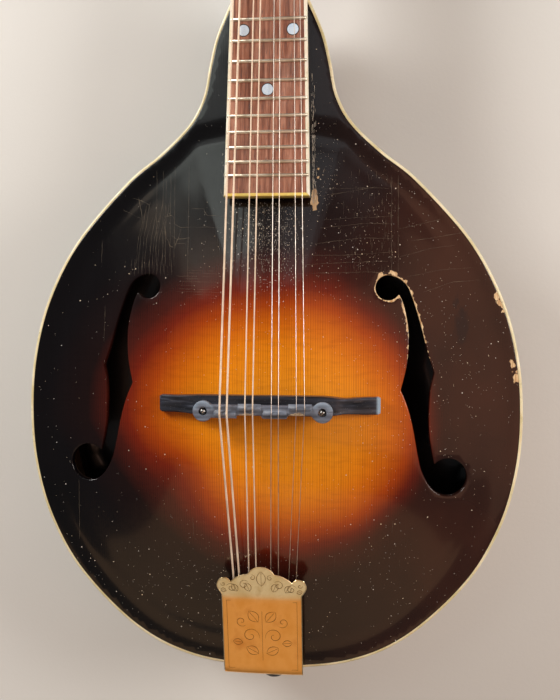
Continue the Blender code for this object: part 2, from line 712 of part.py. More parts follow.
def make_tuners(frame, holes):
    back = -HEAD_BACK - JOINT
    near, far, first, last, thick = TUNER_PLATE
    for side, label in ((-1, "bass"), (1, "treble")):
        low, high = sorted((side * near, side * far))
        strip = [((low, first, back - thick), (high, last, back))]
        plate = boxes("tuner_plate_" + label, strip, NICKEL, frame)
        lugs = []
        shafts = []
        for u in POST_U:
            axis_u = u - WORM_OFFSET
            for x in LUG_X:
                lugs.append(((side * x - 0.8, axis_u - 2.6, GEAR_LEVEL - 2.6),
                             (side * x + 0.8, axis_u + 2.6, back - 0.4)))
            shafts.append(((side * 5.0, axis_u, GEAR_LEVEL), (side * 34.0, axis_u, GEAR_LEVEL)))
        combine(plate, boxes("lugs_" + label, lugs, None, frame, cutter=True), "UNION")
        shaft_holes = rods("shaft_holes_" + label, shafts, SHAFT_RADIUS + GAP, None, frame, cutter=True,
                           segments=10)
        combine(plate, shaft_holes)
        combine(plate, holes)
    for n, (side, u) in enumerate(post_places(), start=1):
        make_post(n, side, u, frame)
        make_button(n, side, u, frame)


def make_post(n, side, u, frame):
    """A string post that carries its gear behind the headstock."""
    top = POST_HEIGHT
    upper = GEAR_LEVEL + GEAR_THICKNESS / 2
    lower = GEAR_LEVEL - GEAR_THICKNESS / 2
    waist = POST_RADIUS - 0.5
    profile = [(0.0, top), (POST_RADIUS - 0.6, top), (POST_RADIUS, top - 0.8), (POST_RADIUS, top - 3.0),
               (waist, top - 4.0), (waist, top - 6.5), (POST_RADIUS, top - 7.5), (POST_RADIUS, upper),
               (GEAR_RADIUS, upper), (GEAR_RADIUS, lower), (0.0, lower)]
    post = turned("tuner_post_%d" % n, profile, NICKEL, frame, steps=12)
    post.location = local(side * POST_X, u, 0.0)


def make_button(n, side, u, frame):
    """A worm shaft with its flattened button; the shaft's axis is the object's Z."""
    profile = [(0.0, 38.5), (SHAFT_RADIUS, 38.5), (SHAFT_RADIUS, 23.5), (WORM_RADIUS, 23.5),
               (WORM_RADIUS, 15.5), (SHAFT_RADIUS, 15.5), (SHAFT_RADIUS, 11.5), (0.0, 11.5)]
    button = turned("tuner_button_%d" % n, profile, BONE, frame, steps=10)
    button.location = local(0.0, u - WORM_OFFSET, GEAR_LEVEL)
    button.rotation_euler = (0.0, side * math.pi / 2, 0.0)
    bm = bmesh.new()
    bmesh.ops.create_uvsphere(bm, u_segments=12, v_segments=6, radius=1.0)
    size = Vector((BUTTON_HALF_THICKNESS, BUTTON_HALF_WIDTH, BUTTON_LENGTH / 2)) * MM
    bmesh.ops.transform(bm, matrix=Matrix.Diagonal((*size, 1.0)), verts=bm.verts)
    bmesh.ops.translate(bm, verts=bm.verts, vec=local(0.0, 0.0, BUTTON_START + BUTTON_LENGTH / 2))
    name = "button_grip_%d" % n
    grip = make_object(name, mesh_from(bm, name), None, frame, cutter=True)
    grip.location = button.location
    grip.rotation_euler = button.rotation_euler
    combine(button, grip, "UNION")


# ---------------------------------------------------------------- bridge

def make_bridge():
    """Footed base, two posts with thumbwheels, and the compensated saddle that they carry."""
    stations = 13
    sections = []
    for k in range(stations):
        share = 2 * k / (stations - 1) - 1
        x = BASE_CENTRE_X + BASE_HALF_LENGTH * share
        reach = HALF_OUTLINE[6][0] - PLATE_INSET
        floor = arch_height(abs(x) / reach, TOP_ARCH) + GAP
        wing = max(0.0, (abs(share) - 0.62) / 0.38)
        top = BASE_TOP + (floor + BASE_END_THICKNESS - BASE_TOP) * wing ** 0.8
        corners = [(-BASE_HALF_WIDTH, floor), (BASE_HALF_WIDTH, floor), (BASE_HALF_WIDTH, top),
                   (-BASE_HALF_WIDTH, top)]
        sections.append([instrument(x, y, z) for y, z in corners])
    base = loft("bridge_base", sections, EBONY)
    bottom = BASE_TOP - 4.0
    bores = [((x, BRIDGE_POST_Y, bottom - GAP), (x, BRIDGE_POST_Y, BASE_TOP + 2)) for x in BRIDGE_POST_X]
    combine(base, rods("base_bores", bores, BRIDGE_POST_RADIUS + GAP, None, to_scene=instrument, cutter=True,
                       segments=12))
    profile = [(0.0, BRIDGE_POST_TOP), (BRIDGE_POST_RADIUS, BRIDGE_POST_TOP), (BRIDGE_POST_RADIUS, bottom),
               (0.0, bottom)]
    for x, label in zip(BRIDGE_POST_X, ("bass", "treble")):
        post = turned("bridge_post_" + label, profile, STEEL, steps=10)
        post.location = instrument(x, BRIDGE_POST_Y, 0.0)
        wheel = rods("thumbwheel_" + label, [((0, 0, WHEEL_BOTTOM), (0, 0, WHEEL_BOTTOM + WHEEL_THICKNESS))],
                     WHEEL_RADIUS, NICKEL, segments=20)
        wheel.location = instrument(x, BRIDGE_POST_Y, 0.0)
        hole = rods("wheel_bore_" + label, [((0, 0, WHEEL_BOTTOM - 2), (0, 0, WHEEL_BOTTOM + 4))],
                    BRIDGE_POST_RADIUS + GAP, None, cutter=True, segments=12)
        hole.location = wheel.location
        combine(wheel, hole)
    make_saddle()


def make_saddle():
    first, last = BRIDGE_POST_X
    bar = boxes("bridge_saddle", [((first, BRIDGE_POST_Y - 3.2, SADDLE_BOTTOM),
                                   (last, BRIDGE_POST_Y + 3.2, SADDLE_SHOULDER))], EBONY, to_scene=instrument)
    ears = [((x, BRIDGE_POST_Y, SADDLE_BOTTOM), (x, BRIDGE_POST_Y, SADDLE_SHOULDER)) for x in BRIDGE_POST_X]
    combine(bar, rods("saddle_ears", ears, EAR_RADIUS, None, to_scene=instrument, cutter=True, segments=24),
            "UNION")
    crests = [((a, y - 1.3, SADDLE_SHOULDER - 1.0), (b, y + 1.3, SADDLE_TOP)) for a, b, y in SADDLE_CRESTS]
    combine(bar, boxes("saddle_crests", crests, None, to_scene=instrument, cutter=True), "UNION")
    bores = [((x, BRIDGE_POST_Y, SADDLE_BOTTOM - 3), (x, BRIDGE_POST_Y, SADDLE_TOP)) for x in BRIDGE_POST_X]
    combine(bar, rods("saddle_bores", bores, SADDLE_HOLE_RADIUS, None, to_scene=instrument, cutter=True))


# ---------------------------------------------------------------- tailpiece

def make_tailpiece(frame, pin_hole):
    base_top = TAIL_BASE_LEVEL
    base_low = base_top - TAIL_BASE_THICKNESS
    half = TAIL_BASE_HALF_WIDTH
    plate = [((-half, TAIL_BASE_START, base_low), (half, TAIL_BASE_LENGTH, base_top))]
    base = boxes("tailpiece_base", plate, GOLD, frame)
    rails = [((-half, 1.0, base_low + 0.2), (-half + 0.8, TAIL_BASE_LENGTH - 0.5, base_top + 2.4)),
             ((half - 0.8, 1.0, base_low + 0.2), (half, TAIL_BASE_LENGTH - 0.5, base_top + 2.4))]
    hooks = [((x - TAIL_X - 0.75, HOOK_V - 1.0, base_top - 0.4), (x - TAIL_X + 0.75, HOOK_V, HOOK_TOP))
             for x in STRING_X_HOOK]
    combine(base, boxes("tail_rails", rails + hooks, None, frame, cutter=True), "UNION")
    outside = HALF_OUTLINE[0][1] - GAP
    level = TAIL_LEVEL + base_top - 0.3
    apron = [((TAIL_X - half + 1.0, outside - TAIL_BASE_THICKNESS, -TAIL_FLANGE_DEPTH),
              (TAIL_X + half - 1.0, outside, level))]
    combine(base, boxes("tail_apron", apron, None, to_scene=instrument, cutter=True), "UNION")
    combine(base, pin_hole)
    screw_runs = [((TAIL_X + x, outside - 3, z), (TAIL_X + x, outside + 2, z)) for x, z in TAIL_SCREWS]
    combine(base, rods("screw_holes", screw_runs, 1.7, None, to_scene=instrument, cutter=True, segments=12))
    outline = mirrored([(COVER_HALF_WIDTH, 0.0), *COVER_HALF_OUTLINE])
    cover = flat_piece("tailpiece_cover", outline, -COVER_THICKNESS, 0.0, GOLD, frame)
    middle = COVER_HALF_WIDTH - 0.45
    flanges = [((side * middle - 0.35, 0.3, -FLANGE_DEPTH),
                (side * middle + 0.35, TAIL_BASE_LENGTH - 0.6, -COVER_THICKNESS / 2)) for side in (-1, 1)]
    combine(cover, boxes("cover_flanges", flanges, None, frame, cutter=True), "UNION")
    for n, (x, z) in enumerate(TAIL_SCREWS, start=1):
        profile = [(0.0, 0.0), (1.6, -0.2), (2.6, -1.3), (1.3, -1.3), (1.3, -2.5), (0.0, -2.6)]
        screw = turned("tailpiece_screw_%d" % n, profile, GOLD, steps=10)
        screw.location = instrument(TAIL_X + x, outside - TAIL_BASE_THICKNESS - 1.6, z)
        screw.rotation_euler = (math.pi / 2, 0.0, 0.0)


def make_end_pin():
    shaft = END_PIN_RADIUS - 0.2
    profile = [*END_PIN_HEAD, (shaft, END_PIN_HEAD[-1][1]), (shaft, 124.0), (0.0, 124.0)]
    pin = turned("end_pin", profile, EBONY, steps=16)
    pin.location = instrument(0.0, 0.0, END_PIN_Z)
    pin.rotation_euler = (math.pi / 2, 0.0, 0.0)


# ---------------------------------------------------------------- strings

def crest_under(x):
    """The y of the saddle's crest under a string."""
    return next(y for first, last, y in SADDLE_CRESTS if first <= x <= last)


def make_strings(board_frame, head_frame, tail_frame):
    bpy.context.view_layer.update()
    places = post_places()
    for n, radius in enumerate(STRING_RADIUS):
        hook = tail_frame.matrix_world @ local(STRING_X_HOOK[n] - TAIL_X, HOOK_V + GAP, HOOK_TOP - 1.2)
        crest = instrument(STRING_X_BRIDGE[n], crest_under(STRING_X_BRIDGE[n]),
                           SADDLE_TOP + radius + STRING_CLEARANCE)
        over_nut = NUT_PROUD + radius + STRING_CLEARANCE
        nut = along_board(SCALE_LENGTH)
        front = board_frame.matrix_world @ local(STRING_X_NUT[n], nut + 0.6, over_nut)
        back = board_frame.matrix_world @ local(STRING_X_NUT[n] * 1.02, nut + NUT_LENGTH, over_nut)
        side, u = places[n]
        away = POST_RADIUS + GAP + radius
        end = head_frame.matrix_world @ local(side * (POST_X - away), u, POST_HEIGHT - 5.2)
        metal = BRONZE if radius > WOUND_RADIUS else STEEL
        tube("string_%d" % (n + 1), [hook, crest, front, back, end], radius, metal)


# ---------------------------------------------------------------- assembly

clear_scene()
PARTS = make_collection("mandolin")
CUTTERS = make_collection("cutters")
BOARD_FRAME = make_frame("board_frame", 0.0, BOARD_LEVEL, slope=-BOARD_SLOPE)
HEAD_FRAME = make_frame("head_frame", *HEAD_START, slope=-HEAD_SLOPE)
TAIL_FRAME = make_frame("tail_frame", TAIL_END, TAIL_LEVEL, x=TAIL_X, slope=TAIL_SLOPE)
make_soundboard()
make_back()
PIN_HOLE = make_sides()
make_tone_bars()
make_fingerboard(BOARD_FRAME)
make_riser()
POST_HOLES = make_neck(BOARD_FRAME, HEAD_FRAME)
make_tuners(HEAD_FRAME, POST_HOLES)
make_bridge()
make_tailpiece(TAIL_FRAME, PIN_HOLE)
make_end_pin()
make_strings(BOARD_FRAME, HEAD_FRAME, TAIL_FRAME)
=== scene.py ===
"""The looks of an arch-top mandolin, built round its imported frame.

Pieces are laid out in millimetres, in one of four spaces: BODY has its origin on the rim's plane under
the bridge, and BOARD, HEAD and TAIL follow the slopes of the fingerboard, headstock and tailpiece.
"""

import math
import random

import bmesh
import bpy
import numpy as np
from mathutils import Matrix, Vector
from mathutils.geometry import delaunay_2d_cdt


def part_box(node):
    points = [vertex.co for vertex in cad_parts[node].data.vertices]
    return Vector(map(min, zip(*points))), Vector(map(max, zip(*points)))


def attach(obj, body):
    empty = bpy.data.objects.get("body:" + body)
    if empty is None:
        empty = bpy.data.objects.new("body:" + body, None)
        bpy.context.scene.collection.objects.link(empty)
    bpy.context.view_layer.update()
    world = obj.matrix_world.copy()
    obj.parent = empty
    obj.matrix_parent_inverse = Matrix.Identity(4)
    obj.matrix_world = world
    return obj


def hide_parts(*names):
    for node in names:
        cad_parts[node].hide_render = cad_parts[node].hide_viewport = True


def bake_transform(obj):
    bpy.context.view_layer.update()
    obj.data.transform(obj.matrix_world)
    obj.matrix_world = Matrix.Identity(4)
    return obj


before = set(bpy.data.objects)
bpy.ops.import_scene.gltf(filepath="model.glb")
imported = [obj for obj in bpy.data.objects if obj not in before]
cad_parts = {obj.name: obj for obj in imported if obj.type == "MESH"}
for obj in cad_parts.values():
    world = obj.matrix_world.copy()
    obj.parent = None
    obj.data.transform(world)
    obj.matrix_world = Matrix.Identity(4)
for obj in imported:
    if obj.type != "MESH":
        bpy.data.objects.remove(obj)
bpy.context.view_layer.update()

MM = 0.001
CHANCE = random.Random(1935)

# Body
HALF_OUTLINE = [               # from the tail to the neck joint, treble side
    (0.0, -139.0), (39.1, -134.0), (69.7, -119.7), (99.1, -91.0), (115.3, -62.3), (123.2, -33.6),
    (125.2, -5.0), (122.6, 23.8), (114.4, 52.5), (98.7, 81.2), (73.1, 109.9), (55.2, 124.3),
    (40.6, 138.6), (33.4, 152.0), (30.2, 167.3), (26.5, 181.7), (19.4, 198.0)]
OUTLINE_STEPS = 9
RIB_DEPTH = 47.0
SIDE_THICKNESS = 2.0
BINDING_WIDTH = 1.3
BINDING_DEPTH = 5.0
PLATE_INSET = 1.4
TOP_ARCH = 14.0
ARCH_REACH = 143.0
RECURVE = 0.55
RIM_LIP = 0.4
PLATE_THICKNESS = 4.4
RIM_THICKNESS = 5.0
NET = 2.4                      # spacing of the points of a carved surface

# F-holes, drawn on the treble side between these two eye centres
F_UPPER_EYE = (59.8, 57.6)
F_LOWER_EYE = (91.2, -34.4)
F_UPPER_RADIUS = 6.2
F_LOWER_RADIUS = 9.5
F_OUTER = [
    (59.8, 63.7), (64.6, 62.4), (68.6, 59.2), (71.2, 54.2), (75.2, 42.7), (79.4, 27.7), (83.1, 16.8),
    (81.5, 8.6), (81.1, -1.2), (81.7, -14.3), (84.6, -29.1)]
F_INNER = [
    (91.2, -43.8), (86.3, -42.4), (82.2, -38.7), (78.3, -31.4), (76.0, -22.7), (73.5, -10.5),
    (70.5, 0.2), (67.0, 8.3), (69.4, 19.0), (70.3, 29.5), (69.8, 39.2), (67.4, 49.8), (64.8, 55.1)]
F_EYES = {"bass": (-1, (60.8, 58.0), (93.4, -32.5)), "treble": (1, (58.8, 57.1), (89.0, -36.3))}

# Fingerboard and neck
SCALE_LENGTH = 352.4
FRET_COUNT = 20
BOARD_LEVEL = 21.8
BOARD_SLOPE = math.radians(4.53)
BOARD_THICKNESS = 5.5
BOARD_END = 101.0
BOARD_HALF_AT_END = 20.8
BOARD_HALF_AT_NUT = 15.0
BOARD_BINDING = 1.5
NUT_LENGTH = 5.0
NUT_PROUD = 1.4
DOT_FRETS = (3, 5, 7, 10, 12, 15)
NECK_SECTIONS = [              # y, half width, depth, how far the bottom narrows
    (198.4, 18.3, 46.5, 1.1), (204.0, 18.0, 45.5, 1.1), (210.0, 17.8, 41.0, 1.0),
    (217.0, 17.7, 32.0, 0.85), (226.0, 17.6, 23.5, 0.75), (238.0, 17.4, 18.5, 0.7),
    (262.0, 17.0, 17.0, 0.7), (300.0, 16.1, 16.2, 0.7), (340.0, 15.2, 15.5, 0.7),
    (364.0, 14.8, 15.0, 0.7)]

# Headstock
HEAD_SLOPE = math.radians(15.5)
HEAD_LENGTH = 136.0
HEAD_HALF_OUTLINE = [
    (15.2, 0.5), (16.6, 7.0), (23.0, 15.0), (30.0, 22.0), (32.4, 34.0), (32.6, 60.0), (34.4, 96.0),
    (36.0, 118.0), (33.6, 128.6), (23.0, 134.4), (0.0, HEAD_LENGTH)]
OVERLAY_THICKNESS = 2.0
HEAD_BACK = 14.15
POST_X = 19.0
POST_U = [32.0, 55.8, 79.6, 103.4]
POST_ORDER = [0, 1, 2, 3, 3, 2, 1, 0]
POST_RADIUS = 2.9
POST_WAIST = 2.4
POST_HEIGHT = 12.0
GEAR_TEETH = 14
GEAR_LEVEL = -18.3
GEAR_THICKNESS = 3.6
GEAR_PITCH_RADIUS = 5.3
WORM_OFFSET = 8.2
WORM_SPAN = (15.5, 23.5)
SHAFT_RADIUS = 1.5
TUNER_PLATE = (12.0, 27.0, 17.0, 116.0, 1.2)
LUG_X = (13.2, 25.8)
BUTTON_START = 37.5

# Bridge
BASE_CENTRE_X = 1.1
BASE_HALF_LENGTH = 54.4
BASE_HALF_WIDTH = 4.8
BASE_TOP = 19.2
BASE_END_THICKNESS = 3.6
BRIDGE_POST_X = {"bass": -29.3, "treble": 28.0}
BRIDGE_POST_Y = -2.2
WHEEL_SPAN = (20.4, 22.0)
WHEEL_RADIUS = 4.7
SADDLE_BOTTOM = 22.3
SADDLE_SHOULDER = 25.6
SADDLE_TOP = 27.0
EAR_RADIUS = 5.0
SADDLE_CRESTS = [              # first x, last x, y of the crest under each pair of strings
    (-24.0, -13.0, -3.2), (-12.4, -1.2, -0.6), (-0.6, 11.2, -3.0), (11.8, 23.0, -0.4)]

# Strings, bass to treble
STRING_RADIUS = [0.5, 0.5, 0.33, 0.33, 0.19, 0.19, 0.14, 0.14]
WOUND_RADIUS = 0.25
STRING_X_HOOK = [-14.6, -12.0, -8.8, -5.2, 1.4, 5.4, 9.2, 12.8]
STRING_X_BRIDGE = [-20.9, -17.4, -8.7, -5.0, 3.9, 7.3, 15.8, 19.7]
STRING_X_NUT = [-13.4, -10.3, -5.2, -2.1, 2.6, 4.9, 10.3, 12.2]
STRING_CLEARANCE = 0.05

# Tailpiece: v runs from the tail towards the bridge
TAIL_X = -2.3
TAIL_END = -139.2
TAIL_LEVEL = 5.8
TAIL_SLOPE = math.radians(11.2)
COVER_THICKNESS = 0.8
COVER_HALF_WIDTH = 19.9
CROWN_HALF_OUTLINE = [
    (19.9, 45.0), (21.4, 47.2), (22.3, 49.8), (21.0, 53.0), (17.6, 53.8), (15.3, 51.6), (13.2, 53.6),
    (9.6, 55.6), (6.6, 56.2), (4.6, 58.6), (2.0, 60.0), (0.0, 60.2)]
TAIL_BASE_LENGTH = 45.0
HOOK_V = 15.5
HOOK_TOP = -1.4
END_PIN_Z = -24.0
END_PIN_TIP = 153.0
TAIL_SCREWS = [(-11.0, -9.0), (11.0, -9.0), (0.0, -38.0)]
TAIL_SCREW_SEAT = -140.3

# The four spaces
PIN_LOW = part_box("end_pin")[0]
SADDLE_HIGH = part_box("bridge_saddle")[1]
ORIGIN = Vector((0.0, PIN_LOW.y + END_PIN_TIP * MM, SADDLE_HIGH.z - SADDLE_TOP * MM))
BODY = Matrix.Translation(ORIGIN) @ Matrix.Scale(MM, 4)


def sloping(x, y, z, slope):
    return BODY @ Matrix.Translation((x, y, z)) @ Matrix.Rotation(slope, 4, "X")


HEAD_Y = SCALE_LENGTH + NUT_LENGTH + 0.3
HEAD_Z = BOARD_LEVEL - (SCALE_LENGTH + NUT_LENGTH) * math.tan(BOARD_SLOPE) - BOARD_THICKNESS
BOARD = sloping(0.0, 0.0, BOARD_LEVEL, -BOARD_SLOPE)
HEAD = sloping(0.0, HEAD_Y, HEAD_Z + OVERLAY_THICKNESS - 0.6, -HEAD_SLOPE)
TAIL = sloping(TAIL_X, TAIL_END, TAIL_LEVEL, TAIL_SLOPE)
TO_TAIL = Matrix.Rotation(math.pi / 2, 4, "X")
FACE_DOWN = Matrix.Rotation(math.pi, 4, "X")
SIDES = ((-1, "bass"), (1, "treble"))


# ---------------------------------------------------------------- outlines

def smooth_curve(points, steps):
    """Points of a Catmull-Rom curve through the given points, which it includes."""
    padded = [points[0], *points, points[-1]]
    result = []
    for a, b, c, d in zip(padded, padded[1:], padded[2:], padded[3:]):
        for k in range(steps):
            t = k / steps
            result.append(tuple(
                0.5 * (2 * q + (r - p) * t + (2 * p - 5 * q + 4 * r - s) * t ** 2
                       + (3 * q - p - 3 * r + s) * t ** 3)
                for p, q, r, s in zip(a, b, c, d)))
    result.append(points[-1])
    return result


def mirrored(points):
    other = [(-x, y) for x, y in reversed(points) if abs(x) > 1e-6]
    return list(points) + other


def body_half(inset):
    """The treble half of the body's outline, moved inwards, from the tail to the neck joint."""
    curve = smooth_curve(HALF_OUTLINE, OUTLINE_STEPS)
    result = []
    for i, (x, y) in enumerate(curve):
        before = curve[max(i - 1, 0)]
        after = curve[min(i + 1, len(curve) - 1)]
        along = Vector((after[0] - before[0], after[1] - before[1])).normalized()
        if i == 0:
            along = Vector((1.0, 0.0))
        moved = Vector((x, y)) + Vector((-along.y, along.x)) * inset
        if i == len(curve) - 1:
            moved += along * (y - moved.y) / along.y
        result.append((moved.x, moved.y))
    return result


def body_rim(inset):
    half = body_half(inset)
    return half + [(-x, y) for x, y in reversed(half[1:])]


def circle(x, y, radius, count=32):
    turn = 2 * math.pi / count
    return [(x + radius * math.cos(turn * k), y + radius * math.sin(turn * k)) for k in range(count)]


def resampled(loop, step):
    """A closed loop with points at even distances."""
    points = np.array(list(loop) + [loop[0]], float)
    lengths = np.concatenate(([0.0], np.cumsum(np.hypot(*np.diff(points, axis=0).T))))
    count = max(8, int(lengths[-1] / step))
    at = np.linspace(0.0, lengths[-1], count, endpoint=False)
    return list(zip(np.interp(at, lengths, points[:, 0]), np.interp(at, lengths, points[:, 1])))


def inside(points, loop):
    """Which of the points lie inside a closed loop."""
    points = np.asarray(points, float)
    loop = np.asarray(loop, float)
    found = np.zeros(len(points), bool)
    for (ax, ay), (bx, by) in zip(loop, np.roll(loop, -1, 0)):
        if ay != by:
            crosses = (ay > points[:, 1]) != (by > points[:, 1])
            found ^= crosses & (points[:, 0] < (bx - ax) * (points[:, 1] - ay) / (by - ay) + ax)
    return found


def within(points, loops):
    """Which of the points lie inside the first loop and outside the others."""
    found = inside(points, loops[0])
    for loop in loops[1:]:
        found &= ~inside(points, loop)
    return found


def edge_distance(x, y, loop):
    """How far each point is from the nearest point of a loop."""
    near = np.full(len(x), np.inf)
    for px, py in loop:
        near = np.minimum(near, np.hypot(x - px, y - py))
    return near


def merged(loops):
    """The outline of overlapping closed loops taken together."""
    verts, edges = [], []
    for loop in loops:
        first = len(verts)
        verts.extend(Vector(p) for p in loop)
        edges.extend((first + i, first + (i + 1) % len(loop)) for i in range(len(loop)))
    points, _, faces = delaunay_2d_cdt(verts, edges, [], 0, 1e-5)[:3]
    middles = [sum((points[i] for i in face), Vector((0.0, 0.0))) / len(face) for face in faces]
    covered = np.zeros(len(faces), bool)
    for loop in loops:
        covered |= inside(middles, loop)
    sides = set()
    for face, kept in zip(faces, covered):
        if kept:
            sides.update(zip(face, (*face[1:], face[0])))
    follow = {a: b for a, b in sides if (b, a) not in sides}
    start = next(iter(sorted(follow)))
    chain = [start]
    while follow[chain[-1]] != start:
        chain.append(follow[chain[-1]])
    return [tuple(points[i]) for i in chain]


def f_hole(side, upper, lower):
    """One f-hole's outline, carried from its drawn place onto the eyes of this side."""
    drawn = complex(*F_LOWER_EYE) - complex(*F_UPPER_EYE)
    turn = (complex(*lower) - complex(*upper)) / drawn
    # the nicks at the waist stay sharp, so each run is smoothed on its own
    runs = [F_OUTER[:7], F_OUTER[6:], [F_LOWER_EYE], F_INNER[:8], F_INNER[7:], [F_UPPER_EYE]]
    stem = []
    for run in runs:
        stem += smooth_curve(run, 6) if len(run) > 1 else run
    moved = [(complex(x, y) - complex(*F_UPPER_EYE)) * turn + complex(*upper) for x, y in stem]
    stem = [(side * p.real, p.imag) for p in moved]
    stem = [p for i, p in enumerate(stem) if math.dist(p, stem[i - 1]) > 0.01]
    eyes = [circle(side * upper[0], upper[1], F_UPPER_RADIUS, 40),
            circle(side * lower[0], lower[1], F_LOWER_RADIUS, 56)]
    return resampled(merged([stem, *eyes]), 0.9)


F_HOLES = {label: f_hole(*place) for label, place in F_EYES.items()}


# ---------------------------------------------------------------- solids: (points, faces) in millimetres

def loft(rings, closed=False):
    """Skin over rings of equally many points, capped at its ends or joined end to end."""
    count = len(rings[0])
    points = [p for ring in rings for p in ring]
    faces = []
    pairs = len(rings) if closed else len(rings) - 1
    for r in range(pairs):
        low = r * count
        high = (r + 1) % len(rings) * count
        for i in range(count):
            j = (i + 1) % count
            faces.append((low + i, low + j, high + j, high + i))
    if not closed:
        faces.append(tuple(range(count)))
        faces.append(tuple(range(len(points) - count, len(points))))
    return points, faces


def lathe(profile, steps=48, closed=False):
    """A profile of (radius, height) turned about Z. An open profile starts and ends near the axis."""
    rings = []
    for radius, height in profile:
        rings.append([(x, y, height) for x, y in circle(0.0, 0.0, max(radius, 0.01), steps)])
    return loft(rings, closed)


def tube(path, radius, sides=10, closed=False):
    """A round wire along a path; the radius may change from point to point."""
    path = [Vector(p) for p in path]
    radii = radius if isinstance(radius, (list, tuple)) else [radius] * len(path)
    across = None
    rings = []
    for i, point in enumerate(path):
        along = (path[min(i + 1, len(path) - 1)] - path[max(i - 1, 0)]).normalized()
        if closed:
            along = (path[(i + 1) % len(path)] - path[i - 1]).normalized()
        if across is None:
            across = along.orthogonal().normalized()
        across = (across - along * across.dot(along)).normalized()
        other = along.cross(across)
        turn = 2 * math.pi / sides
        rings.append([point + (across * math.cos(turn * k) + other * math.sin(turn * k)) * radii[i]
                      for k in range(sides)])
    return loft(rings, closed)


def offset(loop, distance):
    """A closed loop moved to its left."""
    points = np.asarray(loop, float)
    along = np.roll(points, -1, 0) - np.roll(points, 1, 0)
    along /= np.maximum(np.hypot(*along.T), 1e-9)[:, None]
    return points + np.stack((-along[:, 1], along[:, 0]), 1) * distance


def facing(loop, anticlockwise):
    points = np.asarray(loop, float)
    x, y = points.T
    area = np.sum(x * np.roll(y, -1) - np.roll(x, -1) * y)
    return points if (area > 0) == anticlockwise else points[::-1]


def level(height):
    return lambda x, y: np.full(np.shape(x), float(height))


def filled(loops, spacing):
    """Points and triangles that fill the first loop round the others, and the loops as rows of points."""
    flat = [tuple(p) for loop in loops for p in loop]
    rows = []
    first = 0
    for loop in loops:
        rows.append(range(first, first + len(loop)))
        first += len(loop)
    edges = [(a, b) for row in rows for a, b in zip(row, [*row[1:], row[0]])]
    if spacing:
        flat += net_points(loops, spacing)
    found, _, triangles, sources = delaunay_2d_cdt([Vector(p) for p in flat], edges, [], 0, 1e-6)[:4]
    order = {source: made for made, group in enumerate(sources) for source in group}
    middles = [sum((found[i] for i in face), Vector((0, 0))) / 3 for face in triangles]
    sheet = [tuple(face) for face, kept in zip(triangles, within(middles, loops)) if kept]
    return np.array([tuple(p) for p in found]), sheet, [[order[i] for i in row] for row in rows]


def plate(outline, holes, top, bottom, rounding=0.3, spacing=None):
    """A closed plate between the surfaces top(x, y) and bottom(x, y), with rounded edges."""
    loops = [facing(outline, True)] + [facing(hole, False) for hole in holes]
    plane, sheet, rims = filled([offset(loop, rounding) for loop in loops], spacing)
    count = len(plane)
    points = [tuple(p) for surface in (top, bottom) for p in np.column_stack((plane, surface(*plane.T)))]
    faces = sheet + [tuple(i + count for i in reversed(face)) for face in sheet]
    for loop, rim in zip(loops, rims):
        size = len(loop)
        rows = [rim]
        for surface, sign, share in ((top, -1, 0.3), (top, -1, 1.0), (bottom, 1, 1.0), (bottom, 1, 0.3)):
            moved = offset(loop, rounding * (1 - math.sin(share * math.pi / 2)))
            shift = sign * rounding * (1 - math.cos(share * math.pi / 2))
            rows.append(range(len(points), len(points) + size))
            points += [(x, y, z + shift) for (x, y), z in zip(moved, surface(*moved.T))]
        rows.append([i + count for i in rim])
        for low, high in zip(rows, rows[1:]):
            faces += [(low[i], high[i], high[(i + 1) % size], low[(i + 1) % size]) for i in range(size)]
    return points, faces


def net_points(loops, spacing):
    """Points of an even triangular net that stay clear of the loops."""
    low = loops[0].min(0)
    high = loops[0].max(0)
    rows = []
    for k, y in enumerate(np.arange(low[1], high[1], spacing * 0.87)):
        x = np.arange(low[0] + (k % 2) * spacing / 2, high[0], spacing)
        rows.append(np.column_stack((x, np.full(len(x), y))))
    points = np.concatenate(rows)
    points = points[within(points, loops)]
    near = edge_distance(*points.T, np.concatenate(loops))
    return [tuple(p) for p in points[near > spacing * 0.55]]


def block(low, high, rounding=0.2):
    """A box with rounded upright and level edges."""
    corners = [(low[0], low[1]), (high[0], low[1]), (high[0], high[1]), (low[0], high[1])]
    return plate(corners, [], level(high[2]), level(low[2]), rounding)


def placed(solid, matrix):
    points, faces = solid
    return [matrix @ Vector(p) for p in points], faces


def shifted(solid, x, y, z=0.0):
    return placed(solid, Matrix.Translation((x, y, z)))


def joined(solids):
    points, faces = [], []
    for more_points, more_faces in solids:
        base = len(points)
        points.extend(more_points)
        faces.extend(tuple(i + base for i in face) for face in more_faces)
    return points, faces


def along_x(solid, x=0.0, y=0.0, z=0.0):
    """A solid turned about Z, laid along +X with its foot at a point."""
    return shifted(placed(solid, Matrix.Rotation(math.pi / 2, 4, "Y")), x, y, z)


def screw_head(x, y, z, radius, turn, height=0.8):
    """A slotted round head whose seat is at z."""
    across, along = 0.72, 0.13
    corners = ((-across, -along), (across, -along), (across, along), (-across, along))
    slot = [(radius * sx, radius * sy) for sx, sy in corners]
    rim = circle(0.0, 0.0, radius, 28)

    def dome(px, py):
        return height * (1 - 0.45 * (np.hypot(px, py) / radius) ** 2)

    head = joined([plate(rim, [slot], dome, level(height * 0.25), 0.06),
                   plate(rim, [], level(height * 0.28), level(0.0), 0.04)])
    return placed(head, Matrix.Translation((x, y, z)) @ Matrix.Rotation(turn, 4, "Z"))


# ---------------------------------------------------------------- materials

def tint(red, green, blue):
    """A screen colour of 8-bit parts as linear light."""
    def linear(part):
        share = part / 255
        return ((share + 0.055) / 1.055) ** 2.4 if share > 0.04 else share / 12.92
    return (linear(red), linear(green), linear(blue), 1.0)


